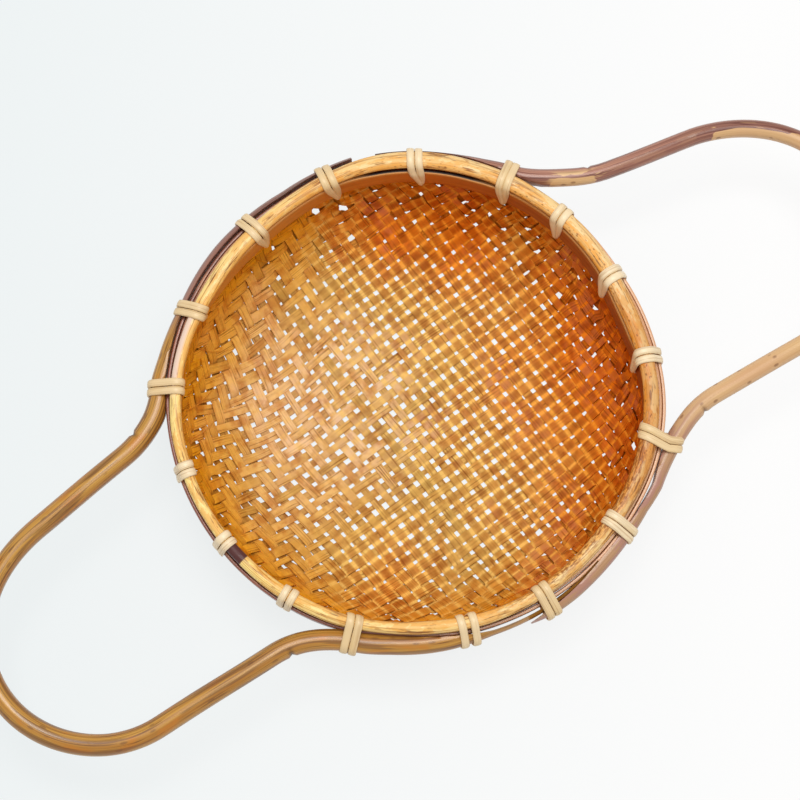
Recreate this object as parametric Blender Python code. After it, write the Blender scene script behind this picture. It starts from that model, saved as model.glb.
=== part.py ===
"""A zaru basket: a shallow round bowl of woven bamboo with a lashed rim and two rattan handles.

Metres, +Z up. The origin is the middle of the flat floor, on the surface that the basket stands on.
+X runs along the handles' line, towards the thinner handle.
"""

import math

import bmesh
import bpy
from mathutils import Vector

# Bowl: one woven mat, drawn up into a shallow bowl
RIM_RADIUS = 0.0750
RIM_HEIGHT = 0.0410
FLOOR_RADIUS = 0.0450
WEAVE_THICKNESS = 0.0014
# The wall's curve, as shares of its run outwards and of its rise
FLOOR_PULL_SHARE = 0.50
WALL_PULL_SHARE = 0.60
WALL_LEAN_SHARE = 0.04
# A plain grid of openings, which stands for the many small gaps between the strips
OPENING_WIDTH = 0.0040
OPENING_PITCH = 0.0108
OPENINGS_ACROSS = 12
OPENINGS_HEADING = 3.5
OPENINGS_REACH_SHARE = 0.86

# Rim: a half-round rod on top of two bands and a strip, with the weave's edge between the bands
ROD_WIDTH = 0.0044
ROD_RISE = 0.0018
ROD_SEAT_DEPTH = 0.0014
INNER_BAND_THICKNESS = 0.0016
OUTER_BAND_THICKNESS = 0.0014
OUTER_STRIP_THICKNESS = 0.0012
BAND_HEIGHT = 0.0096
OUTER_STRIP_HEIGHT = 0.0074
OUTER_STRIP_DROP = 0.0008

# Handles: rattan rods, their ends shaved to strips that lie round the outside of the rim
LEFT_ROD_DIAMETER = 0.0068
RIGHT_ROD_DIAMETER = 0.0059
SHAVED_END_THICKNESS = 0.0018
HANDLE_DROP = 0.0042
LEFT_REACH = 0.1580
RIGHT_REACH = 0.1600
LEFT_LOOP_WIDTH = 0.0730
RIGHT_LOOP_WIDTH = 0.0780
LEFT_LOOP_OFFSET = -0.0090
RIGHT_LOOP_OFFSET = -0.0158
LEFT_UPPER_STANDOFF = 0.0057
LEFT_LOWER_STANDOFF = 0.0058
RIGHT_UPPER_STANDOFF = 0.0115
RIGHT_LOWER_STANDOFF = 0.0092
BEND_LENGTH = 0.0030
LEG_END_SHARE = 0.77
LOOP_ROUNDING_SHARE = 0.55
STUB_CURVE_SHARE = 0.40
SHAVING_SHARE = 0.62

# Lashings: a flat cane, wound twice round the rim through a slot in the weave
CANE_WIDTH = 0.0023
CANE_THICKNESS = 0.0010
CANE_TURN_GAP = 0.0005
CANE_SHOULDER_SHARE = 0.55
CANE_CROWN_SHARE = 0.5
CANE_LEAST_RUN = 0.0012
LASHING_TURNS = 2
# How much of a turn is wound where the cane goes through the weave
SLOT_TURN_SHARE = 0.94

# Clearances between pieces that touch
FIT_GAP = 0.0003
CANE_CLEARANCE = 0.00035
SLOT_CLEARANCE = 0.0005
LEAST_SELF_GAP = 0.0004

# Places round the rim, in degrees from +X, counterclockwise seen from above
LASHING_ANGLES = (
    17.7, 34.0, 56.5, 78.4, 101.8, 127.2, 146.2, 166.5, 186.8,
    206.4, 223.0, 249.3, 269.0, 293.6, 314.7, 335.4, 357.7,
)
RIGHT_UPPER_TIP = 62.0
RIGHT_UPPER_LEAVING = 36.0
RIGHT_UPPER_BEND = 18.5
RIGHT_LOWER_TIP = -94.4
RIGHT_LOWER_LEAVING = -56.0
RIGHT_LOWER_BEND = -35.0
LEFT_UPPER_TIP = 71.5
LEFT_UPPER_LEAVING = 145.0
LEFT_UPPER_BEND = 157.6
LEFT_LOWER_TIP = 285.0
LEFT_LOWER_LEAVING = 226.0
LEFT_LOWER_BEND = 211.4
# Where the right handle's end climbs over the left one's, which lies under it
CLIMB_START = -66.0
CLIMB_END = -74.0

# Counts and fineness
ROUND_SEGMENTS = 72
WALL_POINTS = 9
ROD_POINTS = 7
ROD_SIDES = 10
RIM_STEP = 5.0
STUB_POINTS = 4
BEND_POINTS = 3
LOOP_POINTS = 8
CANE_START_DIRECTION = 225.0
CANE_LEAST_BEND = 8.0
CANE_MOST_BEND = 45.0
WHOLE_ROD_ANGLE = 180.0 - 360.0 / (ROD_SIDES + 2)
SMOOTH_ANGLE = 50.0
MERGE_DISTANCE = 0.000001

# Places that follow from the sizes above
WALL_OUTER_RADIUS = RIM_RADIUS + WEAVE_THICKNESS / 2
WALL_INNER_RADIUS = RIM_RADIUS - WEAVE_THICKNESS / 2
INNER_BAND_OUTER_RADIUS = WALL_INNER_RADIUS - FIT_GAP
INNER_BAND_INNER_RADIUS = INNER_BAND_OUTER_RADIUS - INNER_BAND_THICKNESS
OUTER_BAND_INNER_RADIUS = WALL_OUTER_RADIUS + FIT_GAP
OUTER_BAND_OUTER_RADIUS = OUTER_BAND_INNER_RADIUS + OUTER_BAND_THICKNESS
OUTER_STRIP_INNER_RADIUS = OUTER_BAND_OUTER_RADIUS + FIT_GAP
OUTER_STRIP_OUTER_RADIUS = OUTER_STRIP_INNER_RADIUS + OUTER_STRIP_THICKNESS
HANDLE_SEAT_RADIUS = OUTER_STRIP_OUTER_RADIUS + FIT_GAP
ROD_SEAT_HEIGHT = RIM_HEIGHT - ROD_SEAT_DEPTH
BAND_TOP = ROD_SEAT_HEIGHT - FIT_GAP
BAND_BOTTOM = BAND_TOP - BAND_HEIGHT
HANDLE_HEIGHT = RIM_HEIGHT - HANDLE_DROP
CANE_PITCH = CANE_WIDTH + CANE_TURN_GAP
LASHING_HALF_WIDTH = CANE_PITCH * LASHING_TURNS / 2 + CANE_WIDTH / 2


def clear_scene():
    for old in list(bpy.data.objects):
        bpy.data.objects.remove(old, do_unlink=True)


def finish_of(name, colour, roughness):
    material = bpy.data.materials.new(name)
    material.use_nodes = True
    shader = material.node_tree.nodes["Principled BSDF"]
    shader.inputs["Base Color"].default_value = (*colour, 1.0)
    shader.inputs["Roughness"].default_value = roughness
    shader.inputs["Metallic"].default_value = 0.0
    return material


def golden_bamboo():
    return finish_of("golden_bamboo", (0.62, 0.30, 0.07), 0.45)


def tan_bamboo():
    return finish_of("tan_bamboo", (0.72, 0.42, 0.15), 0.40)


def bamboo_rind():
    return finish_of("bamboo_rind", (0.25, 0.10, 0.06), 0.38)


def pale_cane():
    return finish_of("pale_cane", (0.83, 0.66, 0.38), 0.42)


def golden_rattan():
    return finish_of("golden_rattan", (0.46, 0.24, 0.08), 0.35)


def pinkish_rattan():
    return finish_of("pinkish_rattan", (0.52, 0.30, 0.19), 0.38)


def make_piece(name, body, finish):
    """Turns a finished bmesh into a named object, with its faces outward and its round sides smooth."""
    bmesh.ops.remove_doubles(body, verts=body.verts, dist=MERGE_DISTANCE)
    bmesh.ops.recalc_face_normals(body, faces=body.faces)
    mesh = bpy.data.meshes.new(name)
    body.to_mesh(mesh)
    body.free()
    mesh.materials.append(finish)
    mesh.shade_smooth()
    mesh.set_sharp_from_angle(angle=math.radians(SMOOTH_ANGLE))
    piece = bpy.data.objects.new(name, mesh)
    bpy.context.scene.collection.objects.link(piece)
    return piece


def turn_outline(name, outline, finish, closed=True):
    """Spins a (radius, height) outline round the bowl's axis."""
    body = bmesh.new()
    points = [body.verts.new((radius, 0.0, height)) for radius, height in outline]
    ends = points[1:] + points[:1] if closed else points[1:]
    edges = [body.edges.new(pair) for pair in zip(points, ends)]
    bmesh.ops.spin(
        body, geom=points + edges, cent=(0.0, 0.0, 0.0), axis=(0.0, 0.0, 1.0),
        angle=math.tau, steps=ROUND_SEGMENTS, use_merge=True,
    )
    return make_piece(name, body, finish)


def sweep_rings(name, rings, finish):
    """Joins rings of points into one tube with flat ends."""
    body = bmesh.new()
    loops = [[body.verts.new(point) for point in ring] for ring in rings]
    for first, second in zip(loops, loops[1:]):
        for i in range(len(first)):
            j = (i + 1) % len(first)
            body.faces.new((first[i], first[j], second[j], second[i]))
    body.faces.new(loops[0])
    body.faces.new(loops[-1])
    return make_piece(name, body, finish)


def bezier(points, share):
    """The point at a share of the way along a Bezier curve of any degree."""
    while len(points) > 1:
        points = [a.lerp(b, share) for a, b in zip(points, points[1:])]
    return points[0]


def bezier_points(points, count):
    """Points after the first control point, up to and including the last."""
    return [bezier(points, step / count) for step in range(1, count + 1)]


def around(angle, radius):
    """The point at an angle, in degrees, and a radius from the bowl's axis."""
    turn = math.radians(angle)
    return Vector((math.cos(turn), math.sin(turn))) * radius


# The bowl and the rim


def wall_curve():
    """The bowl's outer side, from the axis to the rim, as (radius, height) points."""
    run = WALL_OUTER_RADIUS - FLOOR_RADIUS
    start = Vector((FLOOR_RADIUS, 0.0))
    end = Vector((WALL_OUTER_RADIUS, BAND_BOTTOM - CANE_THICKNESS - SLOT_CLEARANCE))
    floor_pull = start + Vector((run * FLOOR_PULL_SHARE, 0.0))
    wall_pull = end - Vector((run * WALL_LEAN_SHARE, end.y * WALL_PULL_SHARE))
    curve = bezier_points([start, floor_pull, wall_pull, end], WALL_POINTS)
    return [Vector((0.0, 0.0)), start, *curve, Vector((WALL_OUTER_RADIUS, BAND_TOP))]


def inner_side(outer):
    """The same curve, a weave's thickness further in and up."""
    inner = []
    for i, point in enumerate(outer):
        before = outer[max(i - 1, 0)]
        after = outer[min(i + 1, len(outer) - 1)]
        along = (after - before).normalized()
        inner.append(point + Vector((-along.y, along.x)) * WEAVE_THICKNESS)
    inner[0] = Vector((0.0, WEAVE_THICKNESS))
    inner[1] = outer[1] + Vector((0.0, WEAVE_THICKNESS))
    inner[-2] = Vector((WALL_INNER_RADIUS, outer[-2].y))
    inner[-1] = Vector((WALL_INNER_RADIUS, BAND_TOP))
    return inner


def cane_shift(turns):
    """How far along the rim the cane lies after a number of turns, from the lashing's middle."""
    return (turns - LASHING_TURNS / 2) * CANE_PITCH


def make_slot_cutter():
    """One box for each lashing, where its cane goes through the weave."""
    body = bmesh.new()
    margin = CANE_WIDTH / 2 + SLOT_CLEARANCE
    first = cane_shift(SLOT_TURN_SHARE) - margin
    last = cane_shift(SLOT_TURN_SHARE + LASHING_TURNS - 1) + margin
    top = BAND_BOTTOM - CANE_CLEARANCE + FIT_GAP
    bottom = BAND_BOTTOM - CANE_CLEARANCE - CANE_THICKNESS - FIT_GAP
    inside = WALL_INNER_RADIUS - WEAVE_THICKNESS
    outside = WALL_OUTER_RADIUS + WEAVE_THICKNESS
    for angle in LASHING_ANGLES:
        out = around(angle, 1.0)
        along = Vector((-out.y, out.x))
        corners = [
            (out * radius + along * shift).to_3d() + Vector((0.0, 0.0, height))
            for height in (bottom, top)
            for radius, shift in ((inside, first), (outside, first), (outside, last), (inside, last))
        ]
        points = [body.verts.new(corner) for corner in corners]
        bmesh.ops.convex_hull(body, input=points)
    return make_cutter("slot_cutter", body)


def make_opening_cutter():
    """Upright square posts, in rows along and across the weave, up to where the wall grows steep."""
    body = bmesh.new()
    half = OPENING_WIDTH / 2
    places = [(i - (OPENINGS_ACROSS - 1) / 2) * OPENING_PITCH for i in range(OPENINGS_ACROSS)]
    rows = around(OPENINGS_HEADING, 1.0)
    columns = Vector((-rows.y, rows.x))
    for x in places:
        for y in places:
            corners = [
                rows * (x + side_x * half) + columns * (y + side_y * half)
                for side_x, side_y in ((-1, -1), (1, -1), (1, 1), (-1, 1))
            ]
            if max(corner.length for corner in corners) > RIM_RADIUS * OPENINGS_REACH_SHARE:
                continue
            points = [
                body.verts.new((*corner, height))
                for height in (-WEAVE_THICKNESS, BAND_BOTTOM)
                for corner in corners
            ]
            bmesh.ops.convex_hull(body, input=points)
    return make_cutter("opening_cutter", body)


def make_cutter(name, body):
    cutter = make_piece(name, body, golden_bamboo())
    cutter.hide_render = True
    cutter.display_type = "WIRE"
    return cutter


def cut_away(piece, name, cutter):
    cut = piece.modifiers.new(name, "BOOLEAN")
    cut.operation = "DIFFERENCE"
    cut.solver = "EXACT"
    cut.object = cutter


def make_woven_bowl(finish):
    outer = wall_curve()
    outline = outer + list(reversed(inner_side(outer)))
    bowl = turn_outline("woven_bowl", outline, finish, closed=False)
    cut_away(bowl, "lashing_slots", make_slot_cutter())
    cut_away(bowl, "weave_openings", make_opening_cutter())
    return bowl


def hoop_outline(inner, outer, bottom, top):
    return [(inner, bottom), (outer, bottom), (outer, top), (inner, top)]


def rod_outline():
    """A half-round section: flat where it lies on the bands, round above."""
    outline = []
    for step in range(ROD_POINTS):
        turn = math.pi * step / (ROD_POINTS - 1)
        radius = RIM_RADIUS + math.cos(turn) * ROD_WIDTH / 2
        outline.append((radius, RIM_HEIGHT + math.sin(turn) * ROD_RISE))
    flat_half = OUTER_BAND_INNER_RADIUS - RIM_RADIUS
    outline.append((RIM_RADIUS - flat_half, ROD_SEAT_HEIGHT))
    outline.append((RIM_RADIUS + flat_half, ROD_SEAT_HEIGHT))
    return outline


def inner_band_outline():
    return hoop_outline(INNER_BAND_INNER_RADIUS, INNER_BAND_OUTER_RADIUS, BAND_BOTTOM, BAND_TOP)


def outer_band_outline():
    return hoop_outline(OUTER_BAND_INNER_RADIUS, OUTER_BAND_OUTER_RADIUS, BAND_BOTTOM, BAND_TOP)


def outer_strip_outline():
    top = BAND_TOP - OUTER_STRIP_DROP
    inner, outer = OUTER_STRIP_INNER_RADIUS, OUTER_STRIP_OUTER_RADIUS
    return hoop_outline(inner, outer, top - OUTER_STRIP_HEIGHT, top)


def make_rim(tan, rind):
    turn_outline("rim_rod", rod_outline(), tan)
    turn_outline("inner_band", inner_band_outline(), tan)
    turn_outline("outer_band", outer_band_outline(), rind)
    turn_outline("outer_strip", outer_strip_outline(), rind)


# The handles


def shaved_angle(rod_radius):
    """Half the arc of rind that is left on an end shaved to its thin strip."""
    return math.degrees(math.acos(1.0 - SHAVED_END_THICKNESS / rod_radius))


def rod_section(rod_radius, arc):
    """A round rod's (outward, up) points, cut flat on its inner side where arc leaves off."""
    half = math.radians(arc)
    section = []
    for step in range(ROD_SIDES + 1):
        turn = -half + 2 * half * step / ROD_SIDES
        section.append((rod_radius * math.cos(turn), rod_radius * math.sin(turn)))
    section.append((rod_radius * math.cos(half), 0.0))
    return section


def end_on_rim(tip, leaving, rod_radius, seat_radius_at):
    """The rod's middle and its arc of rind, from its shaved tip to where it leaves the rim."""
    steps = math.ceil(abs(tip - leaving) / RIM_STEP)
    stations = []
    for step in range(steps + 1):
        share = step / steps
        angle = tip + (leaving - tip) * share
        shaving = min((1.0 - share) / SHAVING_SHARE, 1.0)
        arc = WHOLE_ROD_ANGLE + (shaved_angle(rod_radius) - WHOLE_ROD_ANGLE) * shaving
        radius = seat_radius_at(angle) - rod_radius * math.cos(math.radians(arc))
        stations.append((around(angle, radius), arc))
    return stations


def leg_from_rim(leaving, bend, standoff, rod_radius, leg_end):
    """The whole rod from the rim out to its bend and along its straight leg."""
    seat = HANDLE_SEAT_RADIUS - rod_radius * math.cos(math.radians(WHOLE_ROD_ANGLE))
    start = around(leaving, seat)
    corner = around(bend, seat + standoff)
    onward = math.copysign(90.0, math.sin(math.radians(bend - leaving)))
    pull = start + around(leaving + onward, (corner - start).length * STUB_CURVE_SHARE)
    before = corner + (pull - corner).normalized() * BEND_LENGTH
    after = corner + (leg_end - corner).normalized() * BEND_LENGTH
    stub = bezier_points([start, pull, before], STUB_POINTS)
    return stub + bezier_points([before, corner, after], BEND_POINTS) + [leg_end]


def plain_seat(_angle):
    return HANDLE_SEAT_RADIUS


def climbing_seat(angle):
    """The seat of the right handle's lower end, which climbs over the left handle's."""
    share = (CLIMB_START - angle) / (CLIMB_START - CLIMB_END)
    share = min(max(share, 0.0), 1.0)
    return HANDLE_SEAT_RADIUS + (SHAVED_END_THICKNESS + FIT_GAP) * share


def half_handle(tip, leaving, bend, standoff, rod_radius, leg_end, crown, seat_radius_at):
    """One half of a handle, from its shaved tip to the loop's far end."""
    stations = end_on_rim(tip, leaving, rod_radius, seat_radius_at)
    leg = leg_from_rim(leaving, bend, standoff, rod_radius, leg_end)
    outward = (leg[-1] - leg[-2]).normalized()
    leg_pull = leg_end + outward * abs(crown.x - leg_end.x) * LOOP_ROUNDING_SHARE
    crown_pull = crown + Vector((0.0, leg_end.y - crown.y)) * LOOP_ROUNDING_SHARE
    leg += bezier_points([leg_end, leg_pull, crown_pull, crown], LOOP_POINTS)
    return stations + [(point, WHOLE_ROD_ANGLE) for point in leg]


def handle_rings(stations, rod_radius):
    rings = []
    for i, (middle, arc) in enumerate(stations):
        before = stations[max(i - 1, 0)][0]
        after = stations[min(i + 1, len(stations) - 1)][0]
        along = (after - before).normalized()
        out = Vector((-along.y, along.x))
        ring = [
            (middle + out * outward).to_3d() + Vector((0.0, 0.0, HANDLE_HEIGHT + up))
            for outward, up in rod_section(rod_radius, arc)
        ]
        rings.append(ring)
    return rings


def right_handle_rings():
    rod_radius = RIGHT_ROD_DIAMETER / 2
    crown = Vector((RIGHT_REACH, RIGHT_LOOP_OFFSET))
    upper_end = Vector((RIGHT_REACH * LEG_END_SHARE, RIGHT_LOOP_OFFSET + RIGHT_LOOP_WIDTH / 2))
    lower_end = Vector((RIGHT_REACH * LEG_END_SHARE, RIGHT_LOOP_OFFSET - RIGHT_LOOP_WIDTH / 2))
    upper = half_handle(
        RIGHT_UPPER_TIP, RIGHT_UPPER_LEAVING, RIGHT_UPPER_BEND, RIGHT_UPPER_STANDOFF,
        rod_radius, upper_end, crown, plain_seat,
    )
    lower = half_handle(
        RIGHT_LOWER_TIP, RIGHT_LOWER_LEAVING, RIGHT_LOWER_BEND, RIGHT_LOWER_STANDOFF,
        rod_radius, lower_end, crown, climbing_seat,
    )
    return handle_rings(upper + lower[-2::-1], rod_radius)


def left_handle_rings():
    rod_radius = LEFT_ROD_DIAMETER / 2
    crown = Vector((-LEFT_REACH, LEFT_LOOP_OFFSET))
    upper_end = Vector((-LEFT_REACH * LEG_END_SHARE, LEFT_LOOP_OFFSET + LEFT_LOOP_WIDTH / 2))
    lower_end = Vector((-LEFT_REACH * LEG_END_SHARE, LEFT_LOOP_OFFSET - LEFT_LOOP_WIDTH / 2))
    lower = half_handle(
        LEFT_LOWER_TIP, LEFT_LOWER_LEAVING, LEFT_LOWER_BEND, LEFT_LOWER_STANDOFF,
        rod_radius, lower_end, crown, plain_seat,
    )
    upper = half_handle(
        LEFT_UPPER_TIP, LEFT_UPPER_LEAVING, LEFT_UPPER_BEND, LEFT_UPPER_STANDOFF,
        rod_radius, upper_end, crown, plain_seat,
    )
    return handle_rings(lower + upper[-2::-1], rod_radius)


# The lashings


def rim_corners():
    """The rim's section, as (radius, height) points that a lashing goes round."""
    corners = rod_outline() + inner_band_outline() + outer_band_outline() + outer_strip_outline()
    # A hoop's inner face curves towards the cane, away from the middle of the lashing
    nearer = [
        (math.sqrt(radius ** 2 - LASHING_HALF_WIDTH ** 2), height) for radius, height in corners
    ]
    return corners + nearer


def binds(angle, tip, bend):
    """Whether a lashing goes round a handle's end, which lies at the rim from its tip to its bend."""
    return (angle - min(tip, bend)) % 360.0 < abs(tip - bend)


def handle_in_slab(rings, out, along):
    """A handle's points within a lashing's width, as (radius, height)."""
    found = []
    for first, second in zip(rings, rings[1:]):
        for a, b in zip(first, second):
            if a.xy.dot(out) < 0.0:
                continue
            start, end = a.xy.dot(along), b.xy.dot(along)
            if min(start, end) > LASHING_HALF_WIDTH or max(start, end) < -LASHING_HALF_WIDTH:
                continue
            for limit in (-LASHING_HALF_WIDTH, LASHING_HALF_WIDTH):
                share = (limit - start) / (end - start)
                point = a.lerp(b, min(max(share, 0.0), 1.0))
                found.append((point.xy.dot(out), point.z))
    return found


def cane_section():
    """The flat cane's (sideways, outward) points, with a low crown on its outer side."""
    half = CANE_WIDTH / 2
    shoulder = CANE_THICKNESS * CANE_SHOULDER_SHARE
    crown = half * CANE_CROWN_SHARE
    return (
        (-half, 0.0), (-half, shoulder), (-crown, CANE_THICKNESS),
        (crown, CANE_THICKNESS), (half, shoulder), (half, 0.0),
    )


def hull_of(points):
    """The convex outline round (radius, height) points, counterclockwise."""
    outline = []
    for ordered in (sorted(points), sorted(points, reverse=True)):
        chain = []
        for point in ordered:
            while len(chain) > 1 and turning(chain[-2], chain[-1], point) <= 0.0:
                chain.pop()
            chain.append(point)
        outline += chain[:-1]
    return [Vector(point) for point in outline]


def turning(a, b, c):
    """Twice the area of the triangle a, b, c: above zero where the way turns left."""
    return (b[0] - a[0]) * (c[1] - a[1]) - (b[1] - a[1]) * (c[0] - a[0])


def headings_round(outline):
    """Directions, in degrees, that the cane's straight runs face: one for each long side of the
    outline, and enough between them for a round turn at each corner."""
    facing = []
    for a, b in zip(outline, outline[1:] + outline[:1]):
        side = b - a
        if side.length > CANE_LEAST_RUN:
            facing.append(math.degrees(math.atan2(-side.x, side.y)) % 360.0)
    facing.sort()
    headings = []
    for first, second in zip(facing, facing[1:] + [facing[0] + 360.0]):
        turn = second - first
        if turn < CANE_LEAST_BEND:
            continue
        parts = math.ceil(turn / CANE_MOST_BEND)
        headings += [first + turn * part / parts for part in range(parts)]
    return headings


def loop_round(outline):
    """One turn of the cane, as (corner, mitre) pairs that start below the rim's inner side.
    A layer of the cane at some height over the outline turns at corner + mitre * height."""
    headings = headings_round(outline)
    loop = []
    for first, second in zip(headings, headings[1:] + [headings[0] + 360.0]):
        a, b = around(first, 1.0), around(second, 1.0)
        reach_a = max(point.dot(a) for point in outline)
        reach_b = max(point.dot(b) for point in outline)
        spread = a.x * b.y - a.y * b.x
        corner = Vector((reach_a * b.y - reach_b * a.y, reach_b * a.x - reach_a * b.x)) / spread
        mitre = Vector((b.y - a.y, a.x - b.x)) / spread
        loop.append((corner, mitre))
    below = around(CANE_START_DIRECTION, 1.0)
    start = max(range(len(loop)), key=lambda i: loop[i][0].dot(below))
    loop = loop[start:] + loop[:start]
    return loop[:1] + loop[:0:-1]


def wound_shares(loop):
    """How much of a turn is wound at each corner of the loop, by its length."""
    middle = CANE_CLEARANCE + CANE_THICKNESS / 2
    places = [corner + mitre * middle for corner, mitre in loop]
    lengths = [(b - a).length for a, b in zip(places, places[1:] + places[:1])]
    return [sum(lengths[:i]) / sum(lengths) for i in range(len(lengths))]


def lashing_rings(bound, out, along):
    """Rings of one cane that winds twice round what it binds, side by side."""
    loop = loop_round(hull_of(bound))
    shares = wound_shares(loop)
    rings = []
    for step in range(LASHING_TURNS * len(loop) + 1):
        turn, place = divmod(step, len(loop))
        corner, mitre = loop[place]
        shift = cane_shift(turn + shares[place])
        ring = []
        for sideways, outward in cane_section():
            point = corner + mitre * (CANE_CLEARANCE + outward)
            level = (out * point.x + along * (shift + sideways)).to_3d()
            ring.append(level + Vector((0.0, 0.0, point.y)))
        rings.append(ring)
    return rings


def least_self_gap(rings):
    """The least distance between the points of one turn and those of the next."""
    gaps = [
        (a - b).length
        for i in range(len(rings))
        for j in range(i + len(rings) // LASHING_TURNS // 2, len(rings))
        for a in rings[i]
        for b in rings[j]
    ]
    return min(gaps)


def bound_points(angle, out, along, left_rings, right_rings):
    """Everything that the lashing at an angle goes round, as (radius, height) points."""
    bound = rim_corners()
    left_ends = ((LEFT_UPPER_TIP, LEFT_UPPER_BEND), (LEFT_LOWER_TIP, LEFT_LOWER_BEND))
    right_ends = ((RIGHT_UPPER_TIP, RIGHT_UPPER_BEND), (RIGHT_LOWER_TIP, RIGHT_LOWER_BEND))
    for rings, ends in ((left_rings, left_ends), (right_rings, right_ends)):
        if any(binds(angle, tip, bend) for tip, bend in ends):
            bound += handle_in_slab(rings, out, along)
    return bound


def make_lashings(finish, left_rings, right_rings):
    gaps = []
    for number, angle in enumerate(LASHING_ANGLES, start=1):
        out = around(angle, 1.0)
        along = Vector((-out.y, out.x))
        bound = bound_points(angle, out, along, left_rings, right_rings)
        rings = lashing_rings(bound, out, along)
        gaps.append(least_self_gap(rings))
        sweep_rings(f"lashing_{number:02d}", rings, finish)
    print(f"least gap between a lashing's turns: {min(gaps) * 1000:.2f} mm")
    if min(gaps) < LEAST_SELF_GAP:
        raise ValueError("a lashing's turns lie too close to each other")


def main():
    clear_scene()
    make_woven_bowl(golden_bamboo())
    make_rim(tan_bamboo(), bamboo_rind())
    left_rings, right_rings = left_handle_rings(), right_handle_rings()
    sweep_rings("handle_left", left_rings, golden_rattan())
    sweep_rings("handle_right", right_rings, pinkish_rattan())
    make_lashings(pale_cane(), left_rings, right_rings)


main()
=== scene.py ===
"""The looks of a zaru basket: a woven bamboo bowl with a lashed rim and two rattan handles.

Metres, +Z up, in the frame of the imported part. The bowl stands on its flat floor at the origin.
"""

import math
import random

import bmesh
import bpy
import numpy as np
from mathutils import Matrix, Vector
from mathutils.geometry import convex_hull_2d


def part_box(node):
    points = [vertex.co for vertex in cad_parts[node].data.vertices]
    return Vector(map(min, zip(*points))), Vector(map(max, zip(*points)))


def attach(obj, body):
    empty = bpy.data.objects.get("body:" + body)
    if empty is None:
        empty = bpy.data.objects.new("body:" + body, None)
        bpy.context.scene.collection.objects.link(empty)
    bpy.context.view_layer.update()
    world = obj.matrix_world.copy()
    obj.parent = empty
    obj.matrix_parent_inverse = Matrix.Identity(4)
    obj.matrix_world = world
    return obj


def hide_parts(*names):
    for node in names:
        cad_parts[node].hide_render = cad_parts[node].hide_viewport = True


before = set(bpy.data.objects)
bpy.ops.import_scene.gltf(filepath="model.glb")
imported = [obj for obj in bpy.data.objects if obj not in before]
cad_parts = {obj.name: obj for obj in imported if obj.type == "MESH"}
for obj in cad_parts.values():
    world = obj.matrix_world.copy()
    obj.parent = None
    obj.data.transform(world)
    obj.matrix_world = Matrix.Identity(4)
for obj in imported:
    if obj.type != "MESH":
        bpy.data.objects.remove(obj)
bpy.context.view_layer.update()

# Bowl: the middle of the woven mat, drawn up from its flat floor to the rim
RIM_RADIUS = 0.0750
FLOOR_RADIUS = 0.0450
MAT_THICKNESS = 0.0014
WALL_TOP = 0.0390
WALL_STRAIGHT = 0.0283
FLOOR_PULL_SHARE = 0.50
WALL_PULL_SHARE = 0.60
WALL_LEAN_SHARE = 0.04

# Weave: two sets of strips, each over two and under two of the other set
STRIP_PITCH = 0.00427
RIM_PITCH = 0.00330
EVEN_STRIPS = 10
STRIP_COUNT = 50
STRIP_THICKNESS = 0.00044
STRIP_RISE = 0.00028
WALL_RISE = 0.00056
STRIP_WIDTHS = (0.00272, 0.00340)
SLIVER_WIDTHS = (0.00170, 0.00215)
WIDEST_STRIP = 0.0038
FULL_SIDE = (0.970, -0.243)

# By angle in degrees: how far the weave is closed near the rim
CLOSED = ((0.0, 0.15), (18.0, -0.30), (40.0, 0.1), (60.0, 0.9), (90.0, 0.8), (110.0, 0.5), (125.0, 0.6), (140.0, 0.35), (160.0, 0.3),
          (190.0, 0.3), (205.0, 0.6), (215.0, 1.0), (235.0, 1.0), (248.0, 0.7), (260.0, 0.3), (290.0, 0.3),
          (300.0, 0.6), (325.0, 0.55), (345.0, 0.4))
ACROSS_HEADING = 2.0
ALONG_HEADING = 95.0

# Loose fibres on the weave: both ends by angle in degrees and way out from the middle of the flat
# mat, and how far the fibre bows aside as a share of its length
FRAYS = (
    ((150.0, 0.086), (141.0, 0.070), 0.05), ((146.0, 0.085), (137.0, 0.074), -0.04),
    ((157.0, 0.083), (150.0, 0.068), 0.03), ((133.0, 0.084), (128.0, 0.066), 0.06),
    ((194.0, 0.088), (201.0, 0.076), 0.12), ((197.0, 0.087), (190.0, 0.079), -0.16),
    ((199.0, 0.086), (206.0, 0.080), 0.20), ((272.0, 0.083), (258.0, 0.084), 0.16),
    ((258.0, 0.085), (250.0, 0.081), -0.20), ((282.0, 0.086), (290.0, 0.080), 0.18),
    ((104.0, 0.082), (98.0, 0.072), 0.08), ((79.0, 0.083), (76.0, 0.072), -0.10),
)

# Where a pale painted sheen lies on the floor
SHEEN_MIDDLE = (-0.0215, 0.0165, 0.001)

# Places on the weave with painted shade (a deeper colour) and painted light (a lighter one): where, how far, how
# much
SHADE_AND_LIGHT_SPOTS = (((0.0150, 0.0600, 0.012), 0.026, 0.26), ((0.0390, 0.0460, 0.012), 0.030, 0.22),
                ((0.0590, 0.0200, 0.016), 0.028, -0.06), ((-0.0160, 0.0600, 0.018), 0.028, -0.30), ((-0.0400, -0.0420, 0.012), 0.030, 0.44),
                ((0.0690, 0.0130, 0.032), 0.022, -0.24))

# Where the weave is pulled out of line: its middle's angle, how far out, how much and how wide
SWIRL = (148.0, 0.070, -16.0, 0.025)

# How much wider than elsewhere the strips stand apart at a few of the lashings
RAGGED_HOLES = {"lashing_04": 2.4, "lashing_05": 1.8, "lashing_14": 1.7, "lashing_15": 1.6,
                "lashing_17": 2.2}

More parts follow.
